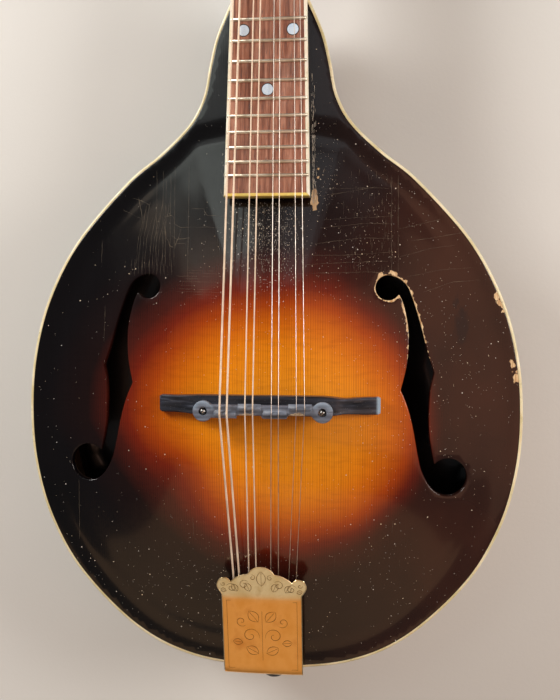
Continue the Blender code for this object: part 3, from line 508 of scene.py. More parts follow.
class Look:
    """One procedural material: its Principled shader and the nodes that feed it."""

    def __init__(self, name, slot):
        self.material = bpy.data.materials.new(name)
        self.material.use_nodes = True
        self.slot = slot
        self.tree = self.material.node_tree
        self.shader = self.tree.nodes["Principled BSDF"]
        self.place = self.node("TexCoord").outputs["Object"]

    def node(self, kind, values=(), **settings):
        made = self.tree.nodes.new("ShaderNode" + kind)
        for key, value in settings.items():
            setattr(made, key, value)
        for key, value in dict(values).items():
            self.feed(made.inputs[key], value)
        return made

    def feed(self, socket, value):
        if isinstance(value, bpy.types.NodeSocket):
            self.tree.links.new(value, socket)
        else:
            socket.default_value = value

    def math(self, operation, *values, clamp=False):
        return self.node("Math", enumerate(values), operation=operation, use_clamp=clamp).outputs[0]

    def plus(self, a, b):
        return self.math("ADD", a, b)

    def times(self, a, b):
        return self.math("MULTIPLY", a, b)

    def scaled(self, value, factor, shift):
        return self.math("MULTIPLY_ADD", value, factor, shift)

    def mixed(self, a, share_of_a, b, share_of_b):
        return self.plus(self.times(a, share_of_a), self.times(b, share_of_b))

    def between(self, value, low, high):
        """A smooth step of a value from 0 at low to 1 at high."""
        steps = {"Value": value, "From Min": low, "From Max": high}
        return self.node("MapRange", steps, interpolation_type="SMOOTHSTEP").outputs["Result"]

    def blend(self, share, a, b, kind="MIX"):
        values = {0: share, 6: a, 7: b}
        return self.node("Mix", values, data_type="RGBA", blend_type=kind).outputs[2]

    def over(self, shade, colour, mask, strength=1.0, kind="MIX"):
        """A shade with a colour laid over it where the mask says."""
        return self.blend(self.times(mask, strength) if strength < 1.0 else mask, shade, colour, kind)

    def ramp(self, value, *stops):
        made = self.node("ValToRGB", {0: value})
        points = made.color_ramp.elements
        while len(points) < len(stops):
            points.new(0.5)
        for point, (position, colour) in zip(points, stops):
            point.position = position
            point.color = colour
        return made.outputs["Color"]

    def stretched(self, x, y, z):
        """Coordinates in which one unit spans these many millimetres along each axis."""
        scale = (1000 / x, 1000 / y, 1000 / z)
        return self.node("Mapping", {"Vector": self.place, "Scale": scale}).outputs[0]

    def noise(self, x, y=None, z=None, detail=3.0, twist=0.0):
        place = self.stretched(x, y or x, z or x)
        values = {"Vector": place, "Scale": 1.0, "Detail": detail, "Distortion": twist}
        return self.node("TexNoise", values).outputs["Fac"]

    def wave(self, place, axis, **values):
        sockets = {key.replace("_", " "): value for key, value in values.items()}
        return self.node("TexWave", {"Vector": place, **sockets}, bands_direction=axis).outputs["Fac"]

    def cells(self, size, feature="F1"):
        values = {"Vector": self.stretched(size, size, size), "Scale": 1.0}
        return self.node("TexVoronoi", values, feature=feature)

    def dots(self, size, radius):
        """One round dot in each cell, its radius a share of the cell."""
        return self.math("LESS_THAN", self.cells(size).outputs["Distance"], radius)

    def attribute(self, name):
        return self.node("Attribute", attribute_name=name).outputs["Fac"]

    def ragged(self, name, noise, strength, low, high):
        """Where a painted attribute is high, with an edge broken up by noise."""
        return self.between(self.plus(self.attribute(name), self.times(noise, strength)), low, high)

    def bump(self, height, depth, under=None):
        """Relief of so many millimetres, on top of other relief."""
        values = {"Height": height, "Distance": depth * MM}
        if under is not None:
            values["Normal"] = under
        return self.node("Bump", values).outputs["Normal"]

    def surface(self, colour, roughness, normal, metallic=0.0, coat=0.0, coat_roughness=0.1):
        values = {"Base Color": colour, "Roughness": roughness, "Normal": normal, "Metallic": metallic,
                  "Coat Weight": coat, "Coat Roughness": coat_roughness}
        for name, value in values.items():
            self.feed(self.shader.inputs[name], value)
        return self


BURST_STOPS = [                # by half of the distance from the burst's middle to its edge
    (0.0, tint(226, 142, 32)), (0.16, tint(236, 148, 24)), (0.27, tint(232, 138, 14)),
    (0.36, tint(209, 108, 8)), (0.43, tint(168, 68, 8)), (0.49, tint(116, 34, 12)),
    (0.55, tint(72, 24, 15)), (0.64, tint(26, 12, 11)), (0.78, tint(13, 9, 11)), (1.0, tint(8, 7, 8))]


def spruce_lines(look):
    """Growth lines along the soundboard."""
    streaks = look.noise(0.45, 60, 40, 5.0)
    wave = look.wave(look.place, "X", Scale=270.0, Distortion=3.0, Detail=2.0, Detail_Scale=0.04,
                     Detail_Roughness=0.5)
    return look.between(look.mixed(wave, 0.3, streaks, 0.8), 0.35, 0.9)


def speckle(look):
    """Specks of bare wood and dust, thickest where the attribute says, and a number for each speck."""
    amount = look.attribute("specks")
    cells = look.cells(1.15)
    parts = look.node("SeparateColor", {0: cells.outputs["Color"]}).outputs
    reach = look.scaled(look.math("POWER", parts[1], 2.5), 0.2, 0.07)
    near = look.math("LESS_THAN", cells.outputs["Distance"], reach)
    large = look.times(look.math("LESS_THAN", parts[0], amount), near)
    fine = look.cells(0.62)
    fine_parts = look.node("SeparateColor", {0: fine.outputs["Color"]}).outputs
    chosen = look.math("LESS_THAN", fine_parts[0], look.times(amount, 0.55))
    dust = look.times(chosen, look.math("LESS_THAN", fine.outputs["Distance"], 0.2))
    return look.math("MAXIMUM", large, dust), parts[2]


def lacquer_relief(look, lines, flaws):
    """Sunk grain, crazing in patches, slow waves and pits where the lacquer is gone."""
    crazing = look.between(look.cells(3.4, "DISTANCE_TO_EDGE").outputs["Distance"], 0.0, 0.03)
    whole = look.between(look.noise(16, 16, 16), 0.62, 0.45)
    relief = look.bump(lines, -0.012)
    relief = look.bump(look.math("MAXIMUM", crazing, whole), 0.005, relief)
    relief = look.bump(look.noise(3.0, 9.0, 3.0, 3.0), 0.02, relief)
    return look.bump(flaws, -0.08, relief)


def sunburst_look():
    """Spruce under amber, red-brown and black lacquer, crazed, speckled and chipped to bare wood."""
    look = Look("sunburst_lacquer", "sunburst_top")
    wander = look.times(look.math("SUBTRACT", look.noise(40, 60, 40), 0.5), 0.12)
    burst = look.plus(look.attribute("burst"), wander)
    shade = look.ramp(look.times(burst, 0.5), *BURST_STOPS)
    lines = spruce_lines(look)
    shade = look.over(shade, tint(120, 46, 8), lines, 0.34, "MULTIPLY")
    ripple = look.between(look.noise(9, 1.6, 20, 3.0), 0.45, 0.7)
    shade = look.over(shade, tint(150, 70, 20), ripple, 0.13, "MULTIPLY")
    # painted reflection: the black lacquer turns browner on the treble side
    brown = look.ramp(look.noise(50, 60, 50), (0.35, tint(36, 19, 15)), (0.65, tint(54, 28, 20)))
    shade = look.over(shade, brown, look.times(look.attribute("brown"), look.between(burst, 0.85, 1.15)))
    specks, kind = speckle(look)
    shade = look.over(shade, look.blend(kind, tint(224, 204, 170), tint(206, 202, 198)), specks)
    chips = look.ragged("wear", look.noise(2.4, 2.4, 2.4, 6.0), 0.9, 0.93, 0.99)
    bare = look.ramp(look.noise(0.8, 6, 6), (0.3, tint(176, 128, 80)), (0.7, tint(236, 208, 164)))
    shade = look.over(shade, bare, chips)
    stain = look.ragged("stain", look.noise(2.2, 5.0, 5.0, 4.0), 0.7, 0.62, 0.95)
    shade = look.over(shade, tint(22, 17, 20), stain, 0.75)
    rough = look.scaled(look.noise(18, 30, 18, 5.0), 0.16, 0.12)
    rough = look.math("ADD", rough, look.times(chips, 0.4), clamp=True)
    relief = lacquer_relief(look, lines, look.math("MAXIMUM", chips, specks))
    look.shader.inputs["Specular IOR Level"].default_value = 0.25
    return look.surface(shade, rough, relief, coat=0.45, coat_roughness=0.08)


def maple_look():
    """Stained maple of the back, sides and neck: flame across the grain under dark lacquer, painted near
    black as shade on the back's inner face.
    """
    look = Look("stained_maple", "stained_maple")
    flame = look.wave(look.stretched(40, 14, 40), "Y", Scale=0.5, Distortion=5.0, Detail=3.0)
    fibre = look.noise(0.8, 30, 0.8, 4.0)
    shade = look.ramp(look.mixed(flame, 0.6, fibre, 0.4),
                      (0.2, tint(44, 19, 12)), (0.5, tint(66, 29, 16)), (0.8, tint(90, 42, 21)))
    worn = look.between(look.noise(30, 30, 30, 6.0), 0.62, 0.74)
    shade = look.over(shade, tint(150, 92, 48), worn, 0.3)
    shade = look.over(shade, tint(190, 160, 120), look.dots(4.0, 0.05))
    # painted shade: the inner face of the back is laid near black, as the body's dark inside
    shade = look.over(shade, tint(12, 10, 13), look.attribute("inside"))
    rough = look.scaled(look.noise(16, 30, 16, 5.0), 0.2, 0.15)
    relief = look.bump(look.noise(2.5, 12, 2.5, 3.0), 0.02)
    return look.surface(shade, rough, relief, coat=0.5, coat_roughness=0.09)


def wood_look(name, slot, dark, light, rough=0.6, fibre=0.9, coat=0.0):
    """Wood with fine fibres along Y, as used inside the body and for the dark trim."""
    look = Look(name, slot)
    fibres = look.noise(fibre, 45, fibre, 5.0)
    broad = look.noise(6, 70, 6, 3.0)
    shade = look.ramp(look.mixed(fibres, 0.6, broad, 0.4), (0.32, dark), (0.66, light))
    return look.surface(shade, look.scaled(fibres, 0.2, rough - 0.1), look.bump(fibres, 0.04), coat=coat)


def rosewood_look():
    """Open-pored rosewood with dark and pink streaks, polished and soiled by playing."""
    look = Look("rosewood", "rosewood")
    streaks = look.noise(1.6, 45, 3.0, 5.0)
    fine = look.noise(0.35, 14, 0.6, 3.0)
    shade = look.ramp(look.mixed(streaks, 0.7, fine, 0.3),
                      (0.3, tint(78, 44, 34)), (0.45, tint(134, 82, 62)), (0.58, tint(174, 120, 96)),
                      (0.75, tint(198, 148, 130)))
    pores = look.between(look.noise(0.25, 5.0, 0.4, 2.0), 0.62, 0.7)
    shade = look.over(shade, tint(40, 20, 16), pores, 0.7)
    grime = look.between(look.noise(12, 12, 12, 5.0), 0.5, 0.75)
    shade = look.over(shade, tint(70, 46, 38), grime, 0.35)
    rough = look.scaled(look.noise(8, 20, 8, 4.0), 0.25, 0.26)
    return look.surface(shade, rough, look.bump(pores, -0.06))


def ebony_look(name, dark, middle, light):
    """Dyed ebony: pale brown where it is rubbed, which on the bridge base is partly painted highlight, and a
    painted blue-grey highlight laid on where the piece is marked to catch the light.
    """
    look = Look(name, "ebony")
    streaks = look.noise(30, 1.6, 3.0, 5.0)
    shade = look.ramp(streaks, (0.3, dark), (0.55, middle), (0.8, light))
    # painted highlight: blue-white colour laid on where the piece is marked to catch the light
    shade = look.over(shade, tint(150, 172, 190), look.attribute("shine"))
    pale = look.ramp(look.noise(1.2, 0.6, 1.2), (0.3, tint(120, 94, 68)), (0.7, tint(196, 178, 148)))
    shade = look.over(shade, pale, look.ragged("wear", look.noise(1.4), 0.6, 0.75, 1.0))
    shade = look.over(shade, tint(150, 146, 140), look.dots(1.1, 0.09), 0.7)
    rough = look.scaled(look.noise(5, 3, 5, 4.0), 0.25, 0.24)
    return look.surface(shade, rough, look.bump(streaks, 0.03), coat=0.15, coat_roughness=0.2)


def celluloid_look(name, slot, pale, aged):
    """Celluloid yellowed unevenly, with faint streaks and soiled spots."""
    look = Look(name, slot)
    shade = look.ramp(look.noise(14, 14, 14, 4.0), (0.35, tint(*aged)), (0.65, tint(*pale)))
    dirt = look.between(look.noise(2.2, 2.2, 2.2, 5.0), 0.62, 0.75)
    shade = look.over(shade, tint(120, 92, 56), dirt, 0.35)
    look.shader.inputs["Subsurface Weight"].default_value = 0.08
    look.shader.inputs["Subsurface Scale"].default_value = 0.001
    return look.surface(shade, look.scaled(look.noise(4.0), 0.2, 0.2), look.bump(look.noise(1.5), 0.015))


def metal_look(name, slot, clean, dull, low=0.18, spread=0.3, scratch=(0.15, 9.0), spotted=0.6):
    """Plated or drawn metal: rubbed and tarnished patches, with fine scratches."""
    look = Look(name, slot)
    patches = look.noise(7, 7, 7, 5.0)
    shade = look.blend(look.between(patches, 0.42, 0.68), clean, dull)
    fine = look.noise(scratch[0], scratch[1], scratch[0], 2.0)
    tarnish = tuple(0.35 * part for part in dull[:3]) + (1.0,)
    shade = look.over(shade, tarnish, look.dots(1.8, 0.07), spotted)
    rough = look.scaled(look.plus(patches, look.times(fine, 0.4)), spread, low - 0.1)
    return look.surface(shade, rough, look.bump(fine, 0.006), metallic=1.0)


def wound_look():
    """Bronze wire wound round a steel core: fine ribs across the string."""
    look = Look("bronze_winding", "bronze_wire")
    ribs = look.wave(look.stretched(1, 1, 1), "Y", Scale=0.62)
    dull = look.noise(9, 9, 9, 4.0)
    # the colour darkens between the turns with the ribs: painted shade in the grooves
    shade = look.ramp(look.mixed(ribs, 0.5, dull, 0.5),
                      (0.2, tint(176, 144, 118)), (0.5, tint(240, 218, 192)), (0.8, tint(252, 242, 226)))
    return look.surface(shade, look.scaled(dull, 0.3, 0.5), look.bump(ribs, 0.05), metallic=0.75)


def pearl_look():
    """Mother-of-pearl, in cool cloudy whites."""
    look = Look("pearl", "bone")
    share = look.noise(1.6, 1.2, 2.0, 3.0, 1.5)
    shade = look.ramp(share, (0.3, tint(178, 198, 220)),
                      (0.5, tint(216, 230, 242)), (0.7, tint(196, 214, 238)))
    return look.surface(shade, look.scaled(share, 0.2, 0.12), look.bump(share, 0.01), coat=0.4)


def crack_look(name, dark, light):
    """The pale edges of splits and scuffs in the lacquer."""
    look = Look(name, "sunburst_top")
    shade = look.ramp(look.noise(3, 3, 3, 4.0), (0.3, dark), (0.7, light))
    return look.surface(shade, 0.6, look.bump(look.noise(0.4), 0.01))


def cover_look():
    """The cover's plating: pale and matt on the crown, warm gold on the plate, brushed and scratched."""
    look = Look("cover_plate", "gold_plate")
    crown = look.attribute("crown")
    patches = look.noise(9, 12, 9, 5.0)
    warm = look.ramp(patches, (0.3, tint(224, 154, 64)),
                     (0.55, tint(234, 168, 84)), (0.75, tint(216, 144, 62)))
    pale = look.ramp(patches, (0.3, tint(210, 190, 138)),
                     (0.6, tint(230, 214, 168)), (0.8, tint(196, 170, 114)))
    brushed = look.noise(0.2, 14, 0.3, 2.0)
    rough = look.scaled(look.plus(look.times(brushed, 0.3), patches), 0.2, 0.2)
    rough = look.plus(rough, look.times(crown, 0.12))
    relief = look.bump(look.noise(0.5, 0.5, 0.5, 4.0), 0.004, look.bump(brushed, 0.004))
    return look.surface(look.blend(crown, warm, pale), rough, relief, metallic=0.55)


SUNBURST = sunburst_look()
MAPLE = maple_look()
SPRUCE = wood_look("bare_spruce", "bare_wood", tint(84, 64, 44), tint(128, 102, 72), 0.75)
DARK_WOOD = wood_look("black_lacquered_wood", "black_lacquer", tint(10, 9, 9),
                      tint(26, 20, 18), 0.3, 0.6, 0.4)
ROSEWOOD = rosewood_look()
EBONY = ebony_look("ebony", tint(20, 21, 27), tint(44, 47, 57), tint(92, 98, 112))
# the saddle's copy is lighter and bluer all over: a painted reflection in its polish
SADDLE_EBONY_PAINTED_SHEEN = ebony_look("saddle_ebony_painted_sheen", tint(62, 67, 77), tint(108, 115, 129), tint(150, 158, 173))
WHITE = celluloid_look("pale_celluloid", "cream_celluloid", (248, 242, 226), (232, 220, 190))
CREAM = celluloid_look("cream_celluloid", "cream_celluloid", (238, 226, 190), (208, 194, 146))
YELLOW = celluloid_look("yellowed_celluloid", "cream_celluloid", (244, 220, 124), (226, 192, 98))
BUTTON = celluloid_look("button_celluloid", "cream_button", (232, 218, 184), (206, 184, 138))
BONE = celluloid_look("bone", "bone", (228, 216, 186), (200, 184, 148))
NICKEL = metal_look("nickel", "nickel", tint(206, 202, 194), tint(176, 170, 158))
FRET_METAL = metal_look("fret_nickel", "nickel", tint(246, 238, 220),
                        tint(214, 202, 180), 0.38, 0.2, (4.0, 0.2))
STEEL = metal_look("steel", "steel", tint(178, 176, 172), tint(110, 104, 98))
GOLD = metal_look("gold_plate", "gold_plate", tint(228, 168, 88), tint(196, 128, 62), 0.2, 0.25)
COVER = cover_look()
# painted highlight: a paler gold for the bead round the cover's edge
GOLD_EDGE_HIGHLIGHT = metal_look("gold_edge_painted_highlight", "gold_plate", tint(250, 232, 190),
                         tint(226, 196, 140), 0.3, 0.15)
ENGRAVED = metal_look("engraved_line", "gold_plate", tint(120, 84, 40), tint(80, 54, 26), 0.5, 0.2)
WOUND = wound_look()
PLAIN_WIRE = metal_look("plain_wire", "steel_wire", tint(240, 232, 222), tint(206, 190, 174), 0.3, 0.2,
                        (0.6, 6.0), 0.2)
PEARL = pearl_look()
CHECK = crack_look("lacquer_check", tint(52, 44, 38), tint(136, 122, 100))
SCUFF = crack_look("lacquer_scuff", tint(150, 140, 124), tint(238, 230, 212))
BLACK_INLAY = wood_look("black_inlay", "black_lacquer", tint(14, 12, 12), tint(30, 24, 22), 0.5)


# ---------------------------------------------------------------- making pieces

def piece(name, solid, space, look, body="body", stands_for=(), smooth=35.0):
    """A solid in one of the spaces made an object that rides on a body and may stand for CAD nodes."""
    points, faces = solid
    mesh = bpy.data.meshes.new(name)
    mesh.from_pydata([space @ Vector(p) for p in points], [], faces)
    bm = bmesh.new()
    bm.from_mesh(mesh)
    bmesh.ops.recalc_face_normals(bm, faces=bm.faces[:])
    bm.to_mesh(mesh)
    bm.free()
    mesh.materials.append(look.material)
    mesh.shade_smooth()
    mesh.set_sharp_from_angle(angle=math.radians(smooth))
    obj = bpy.data.objects.new(name, mesh)
    bpy.context.scene.collection.objects.link(obj)
    if body:
        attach(obj, body)
    if stands_for:
        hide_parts(*([stands_for] if isinstance(stands_for, str) else stands_for))
    return obj


def dress(node, look):
    """A CAD node keeps its shape and takes a better material."""
    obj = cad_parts[node]
    for slot in obj.material_slots:
        slot.material = look.material


def paint(obj, name, values):
    """A number at each vertex that the material reads."""
    layer = obj.data.attributes.new(name, "FLOAT", "POINT")
    layer.data.foreach_set("value", np.asarray(values, np.float32))


def in_space(obj, space):
    """The vertices of a mesh back in its space's millimetres, as columns x, y, z."""
    flat = np.zeros(len(obj.data.vertices) * 3, np.float32)
    obj.data.vertices.foreach_get("co", flat)
    back = np.array(space.inverted())
    return (flat.reshape(-1, 3) @ back[:3, :3].T + back[:3, 3]).T


# ---------------------------------------------------------------- arching

RIM = np.array(body_rim(PLATE_INSET))
RIM_ANGLE = np.arctan2(RIM[:, 1], RIM[:, 0])
RIM_ORDER = np.argsort(RIM_ANGLE)
RIM_RADIUS = np.hypot(*RIM.T)


def rim_share(x, y):
    """Distances from the bridge, as shares of the way to the arch's edge and to the rim."""
    radius = np.hypot(x, y)
    edge = np.interp(np.arctan2(y, x), RIM_ANGLE[RIM_ORDER], RIM_RADIUS[RIM_ORDER], period=2 * math.pi)
    return np.minimum(radius / np.minimum(edge, ARCH_REACH), 1.0), np.minimum(radius / edge, 1.0)


def arch(share, crown):
    return crown * (1 + np.cos(math.pi * share ** 1.25)) / 2


def top_height(x, y):
    share = rim_share(x, y)[0]
    hollow = RECURVE * np.exp(-((share - 0.93) / 0.045) ** 2)
    return arch(share, TOP_ARCH) + RIM_LIP * share ** 8 - hollow


def top_inside(x, y):
    share, to_rim = rim_share(x, y)
    under = np.maximum(arch(share, TOP_ARCH) - PLATE_THICKNESS, -RIM_THICKNESS)
    return np.where(to_rim > 0.92, -RIM_THICKNESS, under)


BACK_ARCH = ORIGIN.z / MM - RIB_DEPTH


def back_height(x, y):
    return -RIB_DEPTH - arch(rim_share(x, y)[0], BACK_ARCH)


def back_inside(x, y):
    ledge = -RIB_DEPTH + RIM_THICKNESS
    carved = np.minimum(back_height(x, y) + PLATE_THICKNESS, ledge)
    return np.where(rim_share(x, y)[1] > 0.88, ledge, carved)


def over_top(x, y, lift=0.0):
    """A point on the soundboard."""
    return (x, y, float(top_height(np.array(x), np.array(y))) + lift)


# ---------------------------------------------------------------- body

def blobs(x, y, places):
    """The largest of several round patches: centre x, centre y, radius across, radius along, strength."""
    total = np.zeros(len(x))
    for px, py, across, along, strength in places:
        total = np.maximum(total, strength * np.exp(-((x - px) / across) ** 2 - ((y - py) / along) ** 2))
    return total


BURST_CENTRE = (9.0, -10.0)
BURST_REACH = (81.0, 70.5, 69.5, 63.0)      # towards the bass side, treble side, neck and tail
BURST_CORNER = 14.0            # how much less it reaches to the bass side near the tail
# painted shade: the burst darkens sooner below the bridge on the bass side
BURST_PAINTED_SHADE = [(-38.0, -32.0, 20.0, 16.0, 0.14)]
STAINS = [(95.0, 38.0, 4.0, 12.0, 0.75), (92.0, 50.0, 2.5, 6.0, 0.55)]
CHIPS = [                      # bare wood beside the fingerboard and f-hole, and along the rim
    (55.0, 64.2, 3.0, 2.0, 0.6), (61.0, 65.0, 3.5, 2.2, 0.6), (67.0, 61.5, 2.5, 2.5, 0.6),
    (111.6, 53.0, 2.0, 4.0, 0.8), (114.2, 47.0, 2.0, 5.0, 0.75), (119.6, 20.0, 2.2, 3.5, 0.75),
    (121.4, 13.0, 2.4, 5.0, 0.75), (-96.0, 79.0, 1.6, 5.0, 0.5), (-121.5, 11.0, 1.2, 2.0, 0.6),
    (22.6, 100.5, 2.1, 7.0, 1.0), (24.0, 113.0, 1.4, 10.0, 0.58), (-52.0, 3.0, 3.0, 1.2, 0.5),
    (46.0, -10.0, 2.0, 0.7, 0.45), (36.0, -20.0, 0.8, 2.4, 0.5), (29.0, -10.0, 0.8, 1.2, 0.45)]
SPECKS = [                     # where dust and pick marks are thick
    (-2.0, 84.0, 15.0, 18.0, 0.9), (2.0, 66.0, 13.0, 14.0, 0.45), (0.0, 40.0, 16.0, 24.0, 0.1),
    (28.0, 112.0, 6.0, 20.0, 0.5), (55.0, -20.0, 16.0, 22.0, 0.08), (-30.0, -95.0, 50.0, 26.0, 0.12),
    (60.0, -80.0, 40.0, 34.0, 0.05), (85.0, 20.0, 28.0, 40.0, 0.12), (50.0, 80.0, 26.0, 26.0, 0.2),
    (-2.0, -118.0, 20.0, 10.0, 0.6)]


def burst_distance(x, y):
    """How far out in the burst each point lies: 1 where amber has turned to black, and further out where
    shade is painted below the bridge on the bass side.
    """
    to_bass, to_treble, to_neck, to_tail = BURST_REACH
    dx = x - BURST_CENTRE[0]
    dy = y - BURST_CENTRE[1]
    across = np.where(dx < 0, to_bass - BURST_CORNER * np.clip(-dy / 40.0, 0.0, 1.0), to_treble)
    along = np.where(dy > 0, to_neck, to_tail)
    return np.hypot(dx / across, dy / along) + blobs(x, y, BURST_PAINTED_SHADE)


def make_soundboard():
    solid = plate(resampled(RIM, 2.0), list(F_HOLES.values()), top_height, top_inside, 0.35, NET)
    top = piece("carved_soundboard", solid, BODY, SUNBURST, stands_for="soundboard", smooth=50.0)
    x, y, z = in_space(top, BODY)
    lip = np.exp(-edge_distance(x, y, F_HOLES["treble"]) ** 2)
    lip *= (0.32 + 0.33 * np.clip((y - 8.0) / 34.0, 0.0, 1.0)) * (y > -6.0)
    wear = np.maximum(blobs(x, y, CHIPS), lip)
    wear[z < top_height(x, y) - 1.0] = 0.0
    paint(top, "burst", burst_distance(x, y))
    paint(top, "wear", wear)
    paint(top, "specks", blobs(x, y, SPECKS) + 0.02)
    # where the black lacquer takes a painted brown reflection: the treble side
    paint(top, "brown", 1 / (1 + np.exp(-(x - 40.0) / 14.0)))
    paint(top, "stain", blobs(x, y, STAINS))


def rim_band(profile, sides=(-1, 1)):
    """A band along the body's outline; its profile is (inset, height) points in order."""
    halves = {inset: body_half(inset) for inset, _ in profile}
    count = len(next(iter(halves.values())))
    rings = []
    for side in sides:
        order = range(count - 1, 0, -1) if side < 0 and len(sides) == 2 else range(count)
        for i in order:
            rings.append([(side * halves[inset][i][0], halves[inset][i][1], z) for inset, z in profile])
    return loft(rings)


def make_back():
    back = plate(resampled(RIM, 2.5), [], back_inside, back_height, 0.35, 4.0)
    carved = piece("carved_back", back, BODY, MAPLE, stands_for="back_plate", smooth=50.0)
    x, y, z = in_space(carved, BODY)
    # the back's inner face, marked for the painted shade inside the body
    paint(carved, "inside", z > back_height(x, y) + 2.0)


def make_rim():
    """The bent sides between the two bindings."""
    low = -RIB_DEPTH + BINDING_DEPTH
    rib = [(0.05, low), (0.0, low + 0.3), (0.0, -BINDING_DEPTH - 0.3), (0.05, -BINDING_DEPTH),
           (SIDE_THICKNESS, -BINDING_DEPTH), (SIDE_THICKNESS, low)]
    for side, label in SIDES:
        piece("bent_side_" + label, rim_band(rib, (side,)), BODY, MAPLE, stands_for="side_" + label)
    wide = BINDING_WIDTH + 0.1
    top = [(0.0, -BINDING_DEPTH), (0.0, RIM_LIP - 0.9), (0.12, RIM_LIP - 0.45), (0.45, RIM_LIP - 0.12),
           (0.9, RIM_LIP), (wide, RIM_LIP - 0.05), (wide, -BINDING_DEPTH)]
    piece("top_binding_strip", rim_band(top), BODY, CREAM, stands_for="top_binding", smooth=60.0)
    bottom = [(wide, -RIB_DEPTH), (0.35, -RIB_DEPTH + 0.12), (0.12, -RIB_DEPTH + 0.45),
              (0.0, -RIB_DEPTH + 0.9), (0.0, low), (wide, low)]
    piece("back_binding_strip", rim_band(bottom), BODY, CREAM, stands_for="back_binding", smooth=60.0)


def make_body():
    make_soundboard()
    make_back()
    make_rim()
    for node in ("head_block", "tail_block", "top_lining_bass", "top_lining_treble", "back_lining_bass",
                 "back_lining_treble", "tone_bar_bass", "tone_bar_treble"):
        dress(node, SPRUCE)
    dress("extension_riser", DARK_WOOD)
    pin = [(0.0, END_PIN_TIP), (3.2, 153.0), (3.9, 152.7), (5.2, 151.8), (6.2, 150.2),
           (6.4, 148.6), (6.0, 147.0), (5.3, 145.4), (5.0, 143.8), (5.4, 142.7), (6.1, 142.2),
           (6.2, 141.2), (6.0, 140.6), (3.8, 140.5), (3.8, 124.0), (0.0, 124.0)]
    turn = Matrix.Translation((0.0, 0.0, END_PIN_Z)) @ TO_TAIL
    piece("turned_end_pin", placed(lathe(pin), turn), BODY, EBONY, stands_for="end_pin")


# ---------------------------------------------------------------- checks in the lacquer

BASS_CRACKS = [                # the branching cracks between the fingerboard and the bass f-hole
    [(-53.0, 93.0), (-49.4, 93.5), (-47.9, 92.0), (-47.6, 89.2), (-44.6, 87.3), (-22.3, 87.0)],
    [(-44.0, 87.0), (-47.6, 76.6), (-50.2, 78.3), (-51.8, 82.4), (-53.0, 88.0), (-53.0, 93.0)],
    [(-49.4, 83.2), (-46.4, 81.5), (-39.6, 82.0)],
    [(-47.4, 79.0), (-41.5, 79.0)],
    [(-38.7, 96.7), (-33.0, 96.5), (-30.7, 92.8), (-22.3, 92.6)],
    [(-75.0, 96.5), (-64.7, 91.6)],
    [(-67.0, 102.7), (-64.7, 91.6)],
    [(-69.6, 102.7), (-61.0, 98.9)]]
TREBLE_CRACKS = [              # level cracks from the fingerboard to the treble f-hole, and rays beyond it
    [(25.9, 101.9), (42.8, 104.9), (52.5, 106.6)],
    [(27.1, 105.6), (52.5, 106.1), (59.7, 105.7)],
    [(27.1, 90.2), (42.8, 91.4), (59.7, 91.9)],
    [(23.5, 86.0), (47.6, 88.7), (59.7, 88.5)],
    [(21.0, 78.4), (47.6, 81.6), (60.6, 81.0)],
    [(16.2, 72.9), (35.6, 72.9), (59.7, 74.5)],
    [(16.8, 68.1), (35.6, 69.3), (58.5, 70.1)],
    [(15.0, 63.9), (50.0, 64.8), (58.0, 63.9)],
    [(64.0, 86.0), (84.0, 90.5)],
    [(64.5, 72.2), (80.0, 76.5), (91.2, 78.0)],
    [(68.0, 62.4), (84.0, 66.0), (100.0, 67.0)],
    [(76.0, 55.0), (90.0, 60.0), (103.4, 61.0)],
    [(70.0, 80.0), (95.0, 84.0)]]


def jitter(reach):
    return CHANCE.uniform(-reach, reach)


def check_line(points, width=0.16, wobble=0.35, step=2.5):
    """A hair-thin split that follows the soundboard through a few points."""
    path = []
    for (ax, ay), (bx, by) in zip(points, points[1:]):
        count = max(2, int(math.hypot(bx - ax, by - ay) / step))
        for k in range(count):
            t = k / count
            path.append((ax + (bx - ax) * t + jitter(wobble), ay + (by - ay) * t + jitter(wobble)))
    path.append(points[-1])
    radii = [width * 0.35 * CHANCE.uniform(0.3, 1.3) for _ in path]
    radii[0] = radii[-1] = width * 0.15
    return tube([over_top(x, y, -0.01) for x, y in path], radii, 4)


def bass_checks():
    """Upright splits, some curving down to the f-hole's eye, and level hairlines towards the strings."""
    lines = []
    for x, high in ((-57.2, 116.0), (-53.9, 116.0), (-52.5, 112.0),
                    (-50.0, 114.0), (-47.9, 118.0), (-40.6, 118.0)):
        lines.append(check_line([(x, high), (x, 92.0), (x + 0.3, 60.0 if x > -45 else 68.0)], 0.13, 0.1))
    for k in range(9):
        x = -68.0 + 1.7 * k + jitter(0.4)
        top = 97.0 + jitter(5)
        foot = 66.0 + CHANCE.uniform(-1, 2)
        lines.append(check_line([(x + 4.0, top), (x + 1.0, 82.0), (x, foot)], 0.12, 0.15))
    for k in range(12):
        x = -70.0 + 1.9 * k
        lines.append(check_line([(x, 70.0 + jitter(2)), (x + 0.05 * (x + 60), 63.5)], 0.12, 0.1))
    lines.append(check_line([(-86.0, 82.0), (-86.2, 70.0)], 0.14, 0.1))
    lines += [check_line(line, 0.17, 0.25) for line in BASS_CRACKS]
    for k in range(10):
        y = 66.0 - 1.5 * k + jitter(0.4)
        start = -50.0 + CHANCE.uniform(-3, 10)
        end = -23.0 + CHANCE.uniform(-5, 2)
        lines.append(check_line([(start, y), (end, y - 0.5)], 0.08, 0.15))
    return lines


